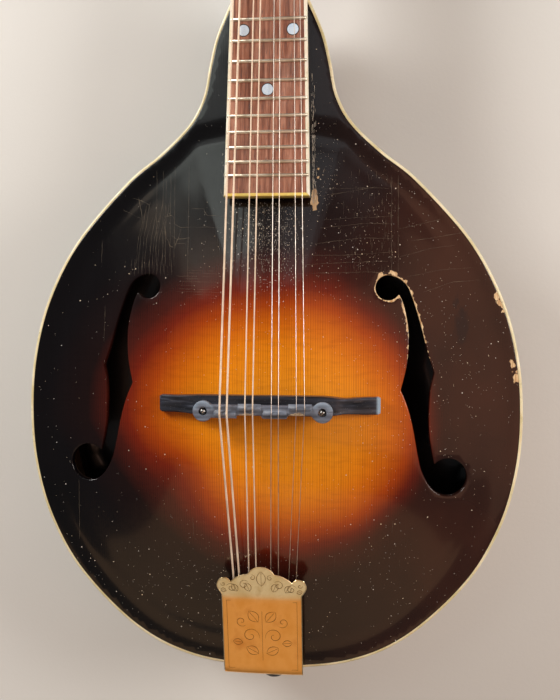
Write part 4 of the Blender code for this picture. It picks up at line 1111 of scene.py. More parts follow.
def treble_checks():
    """Level cracks, the short upright ticks that cross them, and two long splits by the f-hole."""
    lines = [check_line(line, 0.15, 0.12) for line in TREBLE_CRACKS]
    for _ in range(150):
        x = 28.0 + 34.0 * math.sqrt(CHANCE.random())
        y = CHANCE.uniform(62.0, 112.0)
        end = (x + jitter(0.3), y + CHANCE.uniform(1.2, 4.5))
        lines.append(check_line([(x, y), end], 0.1, 0.05))
    lines += [check_line([(x, 112.0), (x + 0.3, 65.0)], 0.17, 0.1) for x in (60.2, 63.4)]
    return lines


def tail_checks():
    """Long lone splits by the bass f-hole and a few on the lower bout."""
    lines = [check_line([(-99.5, -42.0), (-100.0, -74.0)], 0.2, 0.1),
             check_line([(-84.0, 48.0), (-84.5, 30.0)], 0.12, 0.1)]
    for _ in range(16):
        x = jitter(95.0)
        y = CHANCE.uniform(-118.0, -60.0)
        if math.hypot(x, y) < 118.0:
            lines.append(check_line([(x, y), (x + jitter(1), y + CHANCE.uniform(4.0, 12.0))], 0.1, 0.1))
    return lines


def scuffs():
    """Pale scuffs below the end of the fingerboard and along its treble and bass sides."""
    lines = []
    for _ in range(320):
        x = CHANCE.gauss(0.0, 8.5)
        y = 98.0 - 34.0 * CHANCE.random() ** 1.3
        lines.append(check_line([(x, y), (x, y + CHANCE.uniform(0.2, 1.3))], 0.17, 0.04))
    for _ in range(190):
        y = 98.0 + 62.0 * CHANCE.random() ** 1.6
        x = board_half(y) + 0.9 + abs(CHANCE.gauss(0.0, 0.8))
        end = (x + jitter(0.2), y + CHANCE.uniform(0.6, 3.0))
        lines.append(check_line([(x, y), end], 0.28, 0.04))
    for _ in range(40):
        y = 100.0 + 24.0 * CHANCE.random()
        x = -board_half(y) - 1.0 - abs(CHANCE.gauss(0.0, 1.2))
        lines.append(check_line([(x, y), (x, y + CHANCE.uniform(0.5, 1.6))], 0.16, 0.04))
    return lines


def make_checks():
    piece("lacquer_checks", joined([*bass_checks(), *treble_checks(), *tail_checks()]), BODY, CHECK)
    piece("lacquer_scuffs", joined(scuffs()), BODY, SCUFF)


# ---------------------------------------------------------------- neck and fingerboard

def board_half(y):
    share = (y - BOARD_END) / (SCALE_LENGTH - BOARD_END)
    return BOARD_HALF_AT_END + (BOARD_HALF_AT_NUT - BOARD_HALF_AT_END) * share


def along_board(y):
    return y / math.cos(BOARD_SLOPE)


def fret_place(n):
    return SCALE_LENGTH * 2 ** (-n / 12)


def make_fret(n):
    """A crowned fret wire across the board, its ends bevelled down to the binding."""
    y = fret_place(n)
    half = board_half(y) - 0.35
    crown = [(-0.83, 0.1), (-0.7, 0.5), (-0.45, 0.8), (-0.16, 0.97),
             (0.16, 0.97), (0.45, 0.8), (0.7, 0.5), (0.83, 0.1)]
    rings = []
    for x, share in ((-half, 0.25), (-half + 0.7, 1.0), (half - 0.7, 1.0), (half, 0.25)):
        arc = [(py, pz * share) for py, pz in crown]
        rings.append([(x, along_board(y) + py, pz) for py, pz in [(-0.85, -0.3), *arc, (0.85, -0.3)]])
    return loft(rings)


def make_nut(end):
    """The nut, with a notch for each string; it starts where the board ends."""
    rings = []
    half = BOARD_HALF_AT_NUT - 0.3
    steps = 118
    for k in range(steps + 1):
        x = -half + 2 * half * k / steps
        notch = sum(0.35 * math.exp(-((x - sx) / (r + 0.12)) ** 4)
                    for sx, r in zip(STRING_X_NUT, STRING_RADIUS))
        rise = NUT_PROUD + 0.3 - notch - (0.7 * (abs(x) / half) ** 12)
        profile = [(0.1, -BOARD_THICKNESS), (0.1, rise - 0.35), (0.4, rise), (NUT_LENGTH - 1.6, rise - 0.1),
                   (NUT_LENGTH - 0.1, rise - 1.0), (NUT_LENGTH, -BOARD_THICKNESS)]
        rings.append([(x, end + py, pz) for py, pz in profile])
    piece("slotted_nut", loft(rings), BOARD, BONE, stands_for="nut")


def make_dots(dots):
    rings = [plate(circle(x, s, 3.08, 40), [circle(x, s, 2.75, 40)], level(-0.02), level(-2.0), 0.03)
             for x, s in dots]
    piece("dot_rings", joined(rings), BOARD, BLACK_INLAY)
    pearls = [plate(circle(x, s, 2.72, 40), [], level(0.03), level(-2.0), 0.08) for x, s in dots]
    piece("pearl_dots", joined(pearls), BOARD, PEARL)


def make_fingerboard():
    end = along_board(BOARD_END)
    nut = along_board(SCALE_LENGTH)
    outer = board_half(BOARD_END)
    thin = board_half(SCALE_LENGTH)
    wide = outer - BOARD_BINDING
    narrow = thin - BOARD_BINDING
    low = level(-BOARD_THICKNESS)
    foot = end + BOARD_BINDING
    dots = []
    for n in DOT_FRETS:
        middle = along_board((fret_place(n) + fret_place(n - 1)) / 2)
        dots += [(x, middle) for x in ((-12.0, 12.0) if n == 12 else (0.0,))]
    holes = [circle(x, s, 3.1, 32) for x, s in dots]
    board = plate([(-wide, foot), (wide, foot), (narrow, nut), (-narrow, nut)], holes, level(0.0), low, 0.08)
    piece("rosewood_fingerboard", board, BOARD, ROSEWOOD, stands_for="fingerboard")
    piece("frets", joined(make_fret(n) for n in range(1, FRET_COUNT + 1)), BOARD, FRET_METAL, smooth=50.0)
    make_dots(dots)
    for side, label in SIDES:
        strip = [(side * outer, end), (side * thin, nut), (side * narrow, nut), (side * wide, foot)]
        strip = plate(strip, [], level(0.15), low, 0.2)
        piece("board_binding_" + label, strip, BOARD, WHITE, stands_for="fingerboard_binding")
    cap = [(-outer, end), (outer, end), (wide, foot), (-wide, foot)]
    piece("board_binding_end", plate(cap, [], level(0.15), low, 0.2), BOARD, YELLOW)
    make_nut(nut)


def board_underside(y):
    return BOARD_LEVEL - y * math.tan(BOARD_SLOPE) - BOARD_THICKNESS / math.cos(BOARD_SLOPE)


def make_bell_cover():
    """The truss rod's cover, with its pale edge and screws."""
    bell = [(0.0, 1.2), (5.0, 1.5), (7.6, 2.6), (8.4, 6.0),
            (8.0, 10.0), (5.6, 16.0), (4.4, 20.0), (3.2, 25.0), (0.0, 29.0)]
    outline = resampled(mirrored(smooth_curve(bell, 5)), 0.8)
    cover = plate(outline, [], level(1.6), level(0.05), 0.45, 3.0)
    piece("bell_cover", cover, HEAD, DARK_WOOD, stands_for="truss_rod_cover")
    trim = plate(outline, [], level(0.35), level(0.0), 0.1)
    wider = Matrix.Translation((0, -0.9, 0)) @ Matrix.Diagonal((1.09, 1.05, 1, 1))
    piece("bell_cover_edge", placed(trim, wider), HEAD, CREAM)
    places = ((-5.0, 5.4, 0.4), (5.0, 5.4, 1.9), (0.0, 24.0, 1.0))
    heads = [screw_head(x, u, 1.5, 1.4, turn, 0.7) for x, u, turn in places]
    piece("bell_cover_screws", joined(heads), HEAD, NICKEL)


def make_neck():
    rings = []
    for y, half, depth, narrowing in smooth_curve(NECK_SECTIONS, 6):
        top = board_underside(y) - 0.05
        if y > HEAD_Y:
            top = HEAD_Z - (y - HEAD_Y) * math.tan(HEAD_SLOPE) - 2.4
        ring = []
        for k in range(33):
            angle = math.pi * k / 32
            across = math.copysign(abs(math.cos(angle)) ** narrowing, math.cos(angle))
            ring.append((half * across, y, top - depth * math.sin(angle)))
        rings.append(ring)
    piece("neck_shaft", loft(rings), BODY, MAPLE, stands_for="neck", smooth=50.0)
    head = resampled(mirrored(smooth_curve(HEAD_HALF_OUTLINE, 6)), 2.0)
    holes = [circle(side * POST_X, u, POST_RADIUS + 0.4, 28) for side in (-1, 1) for u in POST_U]
    core = plate(head, holes, level(-OVERLAY_THICKNESS), level(-HEAD_BACK), 0.9, 6.0)
    piece("headstock_core", core, HEAD, MAPLE, smooth=50.0)
    front = plate(head, holes, level(0.0), level(-OVERLAY_THICKNESS - 0.05), 0.35, 6.0)
    piece("headstock_veneer", front, HEAD, DARK_WOOD, stands_for="headstock_overlay", smooth=50.0)
    make_bell_cover()
    dress("truss_rod", STEEL)


# ---------------------------------------------------------------- tuners

def post_places():
    """Side and distance from the nut of each post, in the order of the strings."""
    return [(-1 if n < 4 else 1, POST_U[POST_ORDER[n]]) for n in range(8)]


def gear():
    """A worm wheel with rounded teeth, one of which points at the worm."""
    outline = []
    steps = GEAR_TEETH * 10
    for k in range(steps):
        angle = 2 * math.pi * k / steps - math.pi / 2
        wave = math.cos(GEAR_TEETH * (angle + math.pi / 2))
        radius = GEAR_PITCH_RADIUS - 0.1 + 0.5 * max(-1.0, min(1.0, 1.7 * wave - 0.25))
        outline.append((radius * math.cos(angle), radius * math.sin(angle)))
    half = GEAR_THICKNESS / 2
    return plate(outline, [circle(0, 0, 1.2, 20)], level(GEAR_LEVEL + half), level(GEAR_LEVEL - half), 0.15)


def worm(side):
    """The shaft along +X with its right-hand thread; a groove faces the wheel's tooth."""
    pitch = 2 * math.pi * GEAR_PITCH_RADIUS / GEAR_TEETH
    low, high = WORM_SPAN
    if side < 0:
        low, high = -high, -low
    shift = side * POST_X + pitch / 2
    turns = (high - low) / pitch
    count = int(turns * 20)
    path = []
    for k in range(count + 1):
        x = low + 0.5 + (high - low - 1.0) * k / count
        angle = 2 * math.pi * (x - shift) / pitch
        path.append((x, 2.3 * math.cos(angle), 2.3 * math.sin(angle)))
    thread = tube(path, [0.2 + 0.36 * min(1.0, k / 8, (count - k) / 8) for k in range(count + 1)], 8)
    core = [(0.0, low), (1.5, low), (2.1, low + 0.6), (2.1, high - 0.6), (1.5, high), (0.0, high)]
    shaft = [(0.0, 11.5), (1.2, 11.5), (SHAFT_RADIUS, 12.0), (SHAFT_RADIUS, 38.5), (0.0, 38.5)]
    shaft = [(r, side * x) for r, x in shaft]
    return joined([thread, along_x(lathe(core, 24)), along_x(lathe(shaft, 24))])


def button_grip(side):
    """A flattened, waisted button with a metal collar at its foot."""
    rings = []
    stations = ((0.0, 1.9, 1.9), (0.6, 2.2, 2.1), (1.6, 2.8, 2.3), (3.4, 4.4, 2.8),
                (5.5, 5.1, 3.2), (7.6, 5.2, 3.3), (9.4, 4.9, 3.1), (10.8, 4.1, 2.5),
                (11.6, 2.9, 1.7), (12.0, 1.2, 0.7))
    for x, wide, thick in stations:
        ring = []
        for k in range(32):
            angle = 2 * math.pi * k / 32
            c, s = math.cos(angle), math.sin(angle)
            ring.append((side * (BUTTON_START + x), math.copysign(abs(c) ** 0.8, c) * wide,
                         math.copysign(abs(s) ** 0.8, s) * thick))
        rings.append(ring)
    return loft(rings)


def string_look(n):
    return WOUND if STRING_RADIUS[n] > WOUND_RADIUS else PLAIN_WIRE


def coil(n, side, u):
    """The string's turns round its post and the end that passes through it."""
    radius = STRING_RADIUS[n]
    reach = POST_WAIST + radius
    turns = 4 if radius < WOUND_RADIUS else 3
    count = turns * 20
    path = []
    for k in range(count + 1):
        share = k / count
        angle = (math.pi if side > 0 else 0.0) - side * 2 * math.pi * turns * share
        drop = POST_HEIGHT - 5.2 - share * min(1.9, 2.1 * radius * turns)
        path.append((side * POST_X + reach * math.cos(angle), u + reach * math.sin(angle), drop))
    return tube(path, radius, 8)


def tuner_lug(x, axis, back):
    """A bearing for the worm's shaft: a tapered tab with a round end."""
    lug = [(axis - 3.6, back), (axis - 2.7, GEAR_LEVEL - 0.6)]
    lug += [(axis - 2.7 * math.cos(t), GEAR_LEVEL - 0.4 - 2.6 * math.sin(t))
            for t in np.linspace(0.2, math.pi - 0.2, 9)]
    lug += [(axis + 2.7, GEAR_LEVEL - 0.6), (axis + 3.6, back)]
    return loft([[(x + shift, py, pz) for py, pz in lug] for shift in (-0.8, 0.8)])


def make_tuner_strip(side, label):
    near, far, first, last, thick = TUNER_PLATE
    low, high = sorted((side * near, side * far))
    corner = 2.2
    strip = [(low + corner, first), (high - corner, first), (high, first + corner), (high, last - corner),
             (high - corner, last), (low + corner, last), (low, last - corner), (low, first + corner)]
    front = -HEAD_BACK - 0.15
    back = front - thick
    bores = [circle(side * POST_X, u, POST_RADIUS + 0.3, 24) for u in POST_U]
    solids = [plate(strip, bores, level(front), level(back), 0.3, 5.0)]
    solids += [tuner_lug(side * x, u - WORM_OFFSET, back) for u in POST_U for x in LUG_X]
    piece("tuner_strip_" + label, joined(solids), HEAD, NICKEL, stands_for="tuner_plate_" + label)
    screws = []
    for k, u in enumerate((POST_U[0] - 12.6, 44.0, 67.8, 91.6, POST_U[3] + 9.0)):
        flip = Matrix.Translation(((low + high) / 2, u, back)) @ FACE_DOWN
        screws.append(placed(screw_head(0.0, 0.0, 0.0, 1.7, 0.7 * k, 0.9), flip))
    piece("tuner_strip_screws_" + label, joined(screws), HEAD, NICKEL)


def make_post(n, side, u):
    """A string post with its gear, the gear's screw and the string's coil."""
    top = POST_HEIGHT
    post = [(0.0, top), (2.0, top), (2.6, top - 0.25), (POST_RADIUS, top - 0.8), (POST_RADIUS, top - 2.8),
            (2.6, top - 3.4), (POST_WAIST, top - 4.2), (POST_WAIST, top - 7.0), (2.6, top - 7.6),
            (2.85, top - 8.2), (2.85, GEAR_LEVEL + 1.0), (0.0, GEAR_LEVEL + 1.0)]
    under = Matrix.Translation((0, 0, GEAR_LEVEL - GEAR_THICKNESS / 2)) @ FACE_DOWN
    solids = [lathe(post, 32), gear(), placed(screw_head(0, 0, 0, 2.0, 0.5 * n, 0.7), under)]
    whole = shifted(joined(solids), side * POST_X, u)
    piece("string_post_%d" % n, whole, HEAD, NICKEL, "post_%d" % n, "tuner_post_%d" % n)
    piece("string_coil_%d" % n, coil(n - 1, side, u), HEAD, string_look(n - 1), "post_%d" % n)


def make_button(n, side, u):
    seat = (0.0, u - WORM_OFFSET, GEAR_LEVEL)
    body = "button_%d" % n
    piece("worm_shaft_%d" % n, shifted(worm(side), *seat), HEAD, NICKEL, body, "tuner_button_%d" % n)
    piece("button_grip_%d" % n, shifted(button_grip(side), *seat), HEAD, BUTTON, body)
    collar = [(0.0, 35.6), (1.8, 35.6), (2.3, 36.0), (2.4, 37.2), (2.1, 37.9), (0.0, 38.0)]
    collar = along_x(lathe([(r, side * x) for r, x in collar], 28))
    piece("button_collar_%d" % n, shifted(collar, *seat), HEAD, NICKEL, body)


def make_tuners():
    for side, label in SIDES:
        make_tuner_strip(side, label)
    ferrules = []
    for n, (side, u) in enumerate(post_places(), start=1):
        ferrule = lathe([(3.0, -1.5), (3.0, 0.9), (3.2, 1.15), (3.7, 1.1), (4.3, 0.7),
                         (4.9, 0.25), (5.0, 0.02), (3.25, 0.0), (3.25, -1.5)], 40, True)
        ferrules.append(shifted(ferrule, side * POST_X, u))
        make_post(n, side, u)
        make_button(n, side, u)
    piece("post_ferrules", joined(ferrules), HEAD, NICKEL)


# ---------------------------------------------------------------- bridge

# rubbed patches, on the base partly painted highlights along its neck-side edge and a painted reflection on
# the treble wing: centre x, centre y, radius across, radius along, strength
BASE_RUBS_AND_HIGHLIGHTS = [(-50.0, 4.8, 5.0, 1.0, 0.6), (-38.0, 4.8, 5.0, 0.8, 0.42), (44.0, 0.0, 8.0, 2.4, 0.42)]
SADDLE_RUBS = [(-8.0, -4.2, 5.4, 1.5, 1.0), (16.0, -4.0, 5.4, 1.8, 1.0), (-20.0, -5.2, 2.0, 0.8, 0.4),
               (17.0, -2.0, 3.0, 1.5, 0.5), (3.0, 0.8, 3.0, 0.8, 0.4)]


def bridge_base():
    """The footed base: level under the saddle, with wings scooped down to the feet."""
    rings = []
    stations = 96
    for k in range(stations + 1):
        share = 2 * k / stations - 1
        x = BASE_CENTRE_X + BASE_HALF_LENGTH * share
        floor = over_top(x, 0.0, 0.1)[2]
        wing = max(0.0, (abs(share) - 0.62) / 0.38)
        top = BASE_TOP + (floor + BASE_END_THICKNESS - BASE_TOP) * wing ** 0.8
        half = BASE_HALF_WIDTH - 0.6 * min(1.0, 2.0 * wing)
        if x > 0:
            half -= 0.9 * math.exp(-((x - 37.5) / 6.0) ** 2)
        scoop = 1.3 * math.sin(math.pi * min(1.0, wing)) if wing > 0 else 0.0
        edge = min(0.6, 0.3 + 0.5 * wing)
        if k in (0, stations):
            top -= 0.8
            half -= 0.5
        ring = [(-half, floor), (-half, top - scoop - edge), (-half + edge, top - scoop),
                (-half * 0.4, top - scoop * 1.1), (half * 0.25, top - scoop * 0.5), (half * 0.5, top),
                (half - edge, top), (half, top - edge), (half, floor)]
        rings.append([(x, y, z) for y, z in ring])
    return loft(rings)


def thread_post(x, y, low, high, radius, pitch=0.8):
    profile = [(0.0, low)]
    z = low
    while z < high - pitch:
        profile += [(radius * 0.82, z), (radius, z + pitch / 2)]
        z += pitch
    profile += [(radius * 0.82, z), (radius * 0.6, high), (0.0, high)]
    return shifted(lathe(profile, 20), x, y)


def saddle_solid():
    """The saddle's body with its two ears, and a crest under each pair of strings."""
    bass, treble = BRIDGE_POST_X.values()
    bar = [(bass, -5.2), (-24.6, -5.4), (-14.0, -5.4), (-12.6, -4.0), (-1.4, -4.0), (-0.4, -5.4),
           (10.4, -5.4), (11.8, -3.8), (22.6, -3.8), (24.0, -5.4), (treble, -5.2), (treble, 1.0), (bass, 1.0)]
    ears = [circle(px, BRIDGE_POST_Y, EAR_RADIUS, 64) for px in (bass, treble)]
    bores = [circle(px, BRIDGE_POST_Y, 1.9, 32) for px in (bass, treble)]
    outline = resampled(merged([bar, *ears]), 0.7)
    solids = [plate(outline, bores, level(SADDLE_SHOULDER), level(SADDLE_BOTTOM), 0.55, 1.4)]
    low = SADDLE_SHOULDER - 0.6
    for first, last, y in SADDLE_CRESTS:
        rings = []
        for px, drop in ((first, 1.1), (first + 0.8, 0.0), (last - 0.8, 0.0), (last, 1.1)):
            top = SADDLE_TOP - drop
            rings.append([(px, y - 2.2, low), (px, y - 0.55, top - 0.15), (px, y, top),
                          (px, y + 0.55, top - 0.15), (px, y + 2.2, low)])
        solids.append(loft(rings))
    return joined(solids)


def make_lift(label, px):
    """A threaded post and the knurled wheel that carries the saddle on it."""
    serrated = []
    for k in range(120):
        radius = WHEEL_RADIUS - (0.18 if k % 4 < 2 else 0.0)
        angle = 2 * math.pi * k / 120
        serrated.append((px + radius * math.cos(angle), BRIDGE_POST_Y + radius * math.sin(angle)))
    low, high = WHEEL_SPAN
    wheel = plate(serrated, [circle(px, BRIDGE_POST_Y, 1.4, 28)], level(high), level(low), 0.2)
    piece("knurled_wheel_" + label, wheel, BODY, NICKEL, "wheel_" + label, "thumbwheel_" + label, smooth=30.0)
    post = thread_post(px, BRIDGE_POST_Y, BASE_TOP - 4.0, 26.0, 1.3)
    piece("threaded_post_" + label, post, BODY, STEEL, stands_for="bridge_post_" + label, smooth=60.0)


def make_bridge():
    base = piece("carved_bridge_base", bridge_base(), BODY, EBONY, stands_for="bridge_base", smooth=30.0)
    x, y, _ = in_space(base, BODY)
    # pale patches on the base: partly rubbing, partly painted highlight and reflection
    paint(base, "wear", blobs(x, y, BASE_RUBS_AND_HIGHLIGHTS))
    # painted highlight on the treble wing's rounded end and along its bevelled edges
    edges = (x > 34.0) & (np.abs(y) > 4.3)
    paint(base, "shine", np.clip((x - 53.2) / 1.2, 0.0, 1.0) * 0.9 + 0.16 * edges)
    saddle = piece("carved_saddle", saddle_solid(), BODY, SADDLE_EBONY_PAINTED_SHEEN,
                   "saddle", "bridge_saddle", smooth=30.0)
    x, y, _ = in_space(saddle, BODY)
    paint(saddle, "wear", blobs(x, y, SADDLE_RUBS))
    # painted highlight: a pale crescent on the neck side of each of the saddle's ears
    ears = np.min([np.hypot(x - px, y - BRIDGE_POST_Y) for px in BRIDGE_POST_X.values()], axis=0)
    paint(saddle, "shine", 0.4 * ((ears > 4.0) & (ears < 5.2) & (y > BRIDGE_POST_Y + 1.0)))
    for label, px in BRIDGE_POST_X.items():
        make_lift(label, px)


# ---------------------------------------------------------------- tailpiece

# scrolls: x, v, radius, turns, start angle, hand; leaves: x, v, length, angle
CROWN_SCROLLS = [(15.0, 48.6, 2.6, 1.4, 0.4, 1), (8.6, 50.6, 2.6, 1.3, 2.4, -1),
                 (4.4, 54.6, 1.6, 1.2, 1.2, 1), (19.2, 50.6, 1.3, 1.0, 0.0, -1)]
CROWN_LEAVES = [(12.0, 46.8, 4.6, 1.0), (5.8, 47.0, 5.0, 1.2), (17.6, 46.6, 3.0, 0.4)]
SPRAY_SCROLLS = [(6.0, 22.0, 4.6, 1.3, 3.4, -1), (10.4, 30.0, 3.0, 1.2, 4.0, 1)]
SPRAY_LEAVES = [(2.0, 12.0, 7.0, 0.5), (2.0, 30.0, 7.5, 0.9), (10.0, 18.0, 5.0, 0.1)]


def scroll(x, v, radius, turns, start, hand):
    """A spiral tendril in the cover's plane."""
    path = []
    count = int(20 * turns)
    for k in range(count + 1):
        share = k / count
        angle = start + hand * 2 * math.pi * turns * share
        reach = radius * (1 - 0.85 * share)
        path.append((x + reach * math.cos(angle), v + reach * math.sin(angle)))
    return path


def leaf(x, v, length, turn, width=0.34):
    """A pointed leaf outline with a midrib."""
    sides = []
    for hand in (-1, 1):
        run = []
        for k in range(9):
            share = k / 8
            along = length * share
            across = hand * length * width * math.sin(math.pi * share) ** 0.8
            run.append((x + along * math.cos(turn) - across * math.sin(turn),
                        v + along * math.sin(turn) + across * math.cos(turn)))
        sides.append(run)
    rib = [(x, v), (x + length * 0.9 * math.cos(turn), v + length * 0.9 * math.sin(turn))]
    return [*sides, rib]


def cover_top(x, v):
    """The cover's face: gently domed, and rolled down at its tail end."""
    return -0.35 * (np.abs(x) / COVER_HALF_WIDTH) ** 2.5 - 0.5 * np.exp(-(v / 1.6) ** 2) - 0.02


def on_cover(points, lift):
    """Points of the cover's plane, put on its face."""
    return [(x, v, float(cover_top(np.array(x), np.array(v))) + lift) for x, v in points]


def cover_outline():
    # the crown's cusps stay sharp, so each run is smoothed on its own
    crown = []
    for first, last in ((0, 3), (3, 5), (5, 8), (8, 11)):
        crown += smooth_curve(CROWN_HALF_OUTLINE[first:last + 1], 4)[:-1]
    corners = [(COVER_HALF_WIDTH, 0.0), (COVER_HALF_WIDTH, 43.5)]
    return resampled(mirrored([*corners, *crown, CROWN_HALF_OUTLINE[-1]]), 0.8)


def engraving():
    """Scrolls and leaves on the crown, and a leaf spray in a border on the plate."""
    strokes = []
    for scrolls, leaves in ((CROWN_SCROLLS, CROWN_LEAVES), (SPRAY_SCROLLS, SPRAY_LEAVES)):
        for side in (-1, 1):
            lines = [scroll(*place) for place in scrolls]
            lines += [line for place in leaves for line in leaf(*place)]
            if scrolls is SPRAY_SCROLLS:
                lines.append([(17.6, 3.0), (17.6, 41.5)])
            strokes += [[(side * x, v) for x, v in line] for line in lines]
        if scrolls is CROWN_SCROLLS:
            strokes += leaf(0.0, 50.0, 8.0, math.pi / 2, 0.28)
    return [*strokes, [(-17.6, 41.5), (17.6, 41.5)], [(-17.6, 3.0), (17.6, 3.0)], [(0.0, 8.0), (0.0, 36.0)]]


def make_cover():
    def under(x, v):
        return cover_top(x, v) - COVER_THICKNESS

    outline = cover_outline()
    solids = [plate(outline, [], cover_top, under, 0.22, 2.2)]
    for side in (-1, 1):
        middle = side * (COVER_HALF_WIDTH - 0.45)
        solids.append(block((middle - 0.35, 0.3, -3.0), (middle + 0.35, TAIL_BASE_LENGTH - 0.6, -0.7), 0.1))
    cover = piece("engraved_cover", joined(solids), TAIL, COVER, "cover", "tailpiece_cover", smooth=40.0)
    v = in_space(cover, TAIL)[1]
    paint(cover, "crown", 1 / (1 + np.exp(-(v - 43.5) / 0.6)))
    cuts = []
    for line in engraving():
        last = len(line) - 1
        radii = [0.05 + 0.08 * math.sin(math.pi * k / last) for k in range(len(line))]
        cuts.append(tube(on_cover(line, 0.01), radii if last > 1 else 0.08, 4))
    piece("cover_engraving", joined(cuts), TAIL, ENGRAVED, "cover")
    # a bead round the cover, painted paler as a highlight along its edge
    bead = on_cover(offset(outline, -0.02), -0.16)
    piece("cover_bead", tube(bead, 0.26, 8, True), TAIL, GOLD_EDGE_HIGHLIGHT, "cover")


def make_tailpiece():
    make_cover()
    dress("tailpiece_base", GOLD)
    for n, (x, z) in enumerate(TAIL_SCREWS, start=1):
        aim = Matrix.Translation((TAIL_X + x, TAIL_SCREW_SEAT, z)) @ TO_TAIL
        solid = placed(screw_head(0.0, 0.0, 0.0, 2.6, 0.8 * n, 1.5), aim)
        piece("slotted_screw_%d" % n, solid, BODY, GOLD, stands_for="tailpiece_screw_%d" % n)


# ---------------------------------------------------------------- strings

def crest_under(x):
    return next(y for first, last, y in SADDLE_CRESTS if first <= x <= last)


def between(a, b, count):
    return [a + (b - a) * k / count for k in range(count)]


def string_points(n):
    """Where a string meets its hook, the saddle, the two edges of the nut and its post."""
    radius = STRING_RADIUS[n]
    side, u = post_places()[n]
    hook = TAIL @ Vector((STRING_X_HOOK[n] - TAIL_X, HOOK_V + 0.3 + radius, HOOK_TOP - 1.2))
    crest = BODY @ Vector((STRING_X_BRIDGE[n], crest_under(STRING_X_BRIDGE[n]), SADDLE_TOP + radius - 0.05))
    over_nut = NUT_PROUD + radius + STRING_CLEARANCE
    nut = along_board(SCALE_LENGTH)
    front = BOARD @ Vector((STRING_X_NUT[n], nut + 0.6, over_nut))
    back = BOARD @ Vector((STRING_X_NUT[n] * 1.02, nut + NUT_LENGTH - 1.2, over_nut - 0.15))
    post = HEAD @ Vector((side * (POST_X - POST_WAIST - radius), u, POST_HEIGHT - 5.2))
    return hook, crest, front, back, post


def hook_loop(n, hook, crest):
    """The loop round the hook and the string's end, twisted back round itself."""
    start = TAIL.inverted() @ hook
    away = (TAIL.inverted() @ crest - start).normalized()
    twist = []
    for k in range(61):
        angle = 2 * math.pi * 7 * k / 60
        turn = Vector((math.cos(angle), 0.0, math.sin(angle))) * (STRING_RADIUS[n] + 0.16)
        twist.append(start + away * (1.2 + 6.5 * k / 60) + turn)
    loop = []
    for k in range(25):
        angle = 2 * math.pi * k / 24
        loop.append(start + Vector((1.15 * math.sin(angle), -0.8 + 1.3 * math.cos(angle) - 0.4, 0.0)))
    return joined([tube(twist, 0.16, 6), tube(loop, 0.17, 6)])


def make_strings():
    """Each string is two pieces that meet on the saddle."""
    for n, radius in enumerate(STRING_RADIUS):
        hook, crest, front, back, post = string_points(n)
        for name, path, bodies, ends in (
                ("tail", [*between(hook, crest, 12), crest], ("body", "saddle"), (hook, crest)),
                ("neck", [*between(crest, front, 24), front, back, *between(back, post, 6)[1:], post],
                 ("saddle", "body"), (crest, front))):
            solid = tube([p / MM for p in path], radius, 10)
            obj = piece("string_%s_%d" % (name, n + 1), solid, Matrix.Scale(MM, 4), string_look(n), None)
            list(bodies)
            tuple(ends[0])
            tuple(ends[1])
            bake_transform(obj)
            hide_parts("string_%d" % (n + 1))
        piece("string_loop_%d" % (n + 1), hook_loop(n, hook, crest), TAIL, PLAIN_WIRE)


# ---------------------------------------------------------------- studio

LIGHT_AIM = Vector((0.0, -0.15, 0.05))
# name, place, size, power, colour; the sheens show as reflections in the lacquer
LIGHTS = [
    ("key", (-0.9, 0.55, 0.55), (0.4, 0.4), 16.3, (1.0, 0.97, 0.93)),
    ("fill", (1.0, 0.1, 0.55), (0.5, 0.5), 10.2, (1.0, 0.95, 0.9)),
    ("tail_fill", (-0.15, -1.3, 0.85), (1.0, 0.5), 1.15, (1.0, 0.74, 0.5)),
    ("low_sheen", (-0.08, -0.8, 1.0), (1.1, 0.36), 0.9, (1.0, 0.58, 0.3)),
    ("left_sheen", (-0.33, 0.34, 1.0), (0.26, 0.24), 0.44, (0.93, 1.0, 0.93)),
    ("brown_sheen", (-0.47, 0.2, 1.0), (0.1, 0.12), 0.045, (1.0, 0.78, 0.58)),
    ("upper_sheen_left", (-0.215, 0.22, 1.0), (0.1, 0.16), 0.045, (0.96, 0.98, 0.96)),
    ("upper_sheen_right", (0.01, 0.27, 1.0), (0.15, 0.22), 0.075, (0.92, 0.95, 1.0)),
    ("upper_sheen_edge", (0.145, 0.27, 1.0), (0.12, 0.22), 0.028, (0.98, 0.94, 0.96)),
    ("right_sheen", (0.62, -0.15, 1.0), (0.7, 1.3), 2.2, (1.0, 0.5, 0.3))]


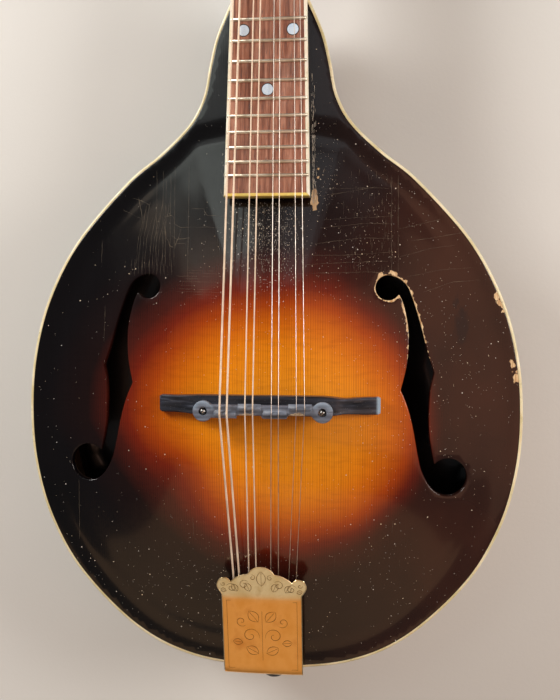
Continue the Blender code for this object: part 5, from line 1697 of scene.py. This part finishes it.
def soft_light(name, place, size, power, colour):
    """A rectangular light aimed at the instrument."""
    light = bpy.data.lights.new(name, "AREA")
    light.shape = "RECTANGLE"
    light.size, light.size_y = size
    light.energy = power
    light.color = colour
    obj = bpy.data.objects.new(name, light)
    obj.location = place
    obj.rotation_euler = (LIGHT_AIM - Vector(place)).to_track_quat("-Z", "Y").to_euler()
    bpy.context.scene.collection.objects.link(obj)


def make_camera():
    data = bpy.data.cameras.new("camera")
    data.lens = 42.0
    data.clip_start = 0.01
    camera = bpy.data.objects.new("camera", data)
    camera.location = (0.0467, -0.116777, 0.468696)
    camera.rotation_euler = [math.radians(angle) for angle in (-3.5, 5.8, 0.1)]
    bpy.context.scene.collection.objects.link(camera)
    bpy.context.scene.camera = camera


def make_floor():
    """A pale floor with painted shade that darkens it away from the instrument, where the lights stand close
    to it.
    """
    look = Look("pale_floor", "bone")
    shade = look.ramp(look.noise(300, 300, 300), (0.3, tint(214, 214, 210)), (0.7, tint(222, 221, 217)))
    away = look.node("VectorMath", {0: look.place}, operation="LENGTH").outputs["Value"]
    # painted shade: darker further out, to even out the lamps' bright pools
    shade = look.over(shade, tint(88, 88, 86), look.between(away, 0.44, 0.8))
    look.surface(shade, 0.8, look.bump(look.noise(2.0), 0.05))
    mesh = bpy.data.meshes.new("floor")
    reach = 3.0
    corners = [(-reach, -reach, 0), (reach, -reach, 0), (reach, reach, 0), (-reach, reach, 0)]
    mesh.from_pydata(corners, [], [(0, 1, 2, 3)])
    mesh.materials.append(look.material)
    floor = bpy.data.objects.new("floor", mesh)
    floor.location.z = -0.0005
    bpy.context.scene.collection.objects.link(floor)


def make_studio():
    make_camera()
    make_floor()
    for light in LIGHTS:
        soft_light(*light)
    world = bpy.data.worlds.new("studio")
    world.use_nodes = True
    sky = world.node_tree.nodes["Background"].inputs
    sky["Color"].default_value = (0.85, 0.88, 0.92, 1.0)
    sky["Strength"].default_value = 0.1
    bpy.context.scene.world = world
    bpy.context.scene.view_settings.view_transform = "Standard"


make_studio()
make_body()
make_checks()
make_fingerboard()
make_neck()
make_tuners()
make_bridge()
make_tailpiece()
make_strings()
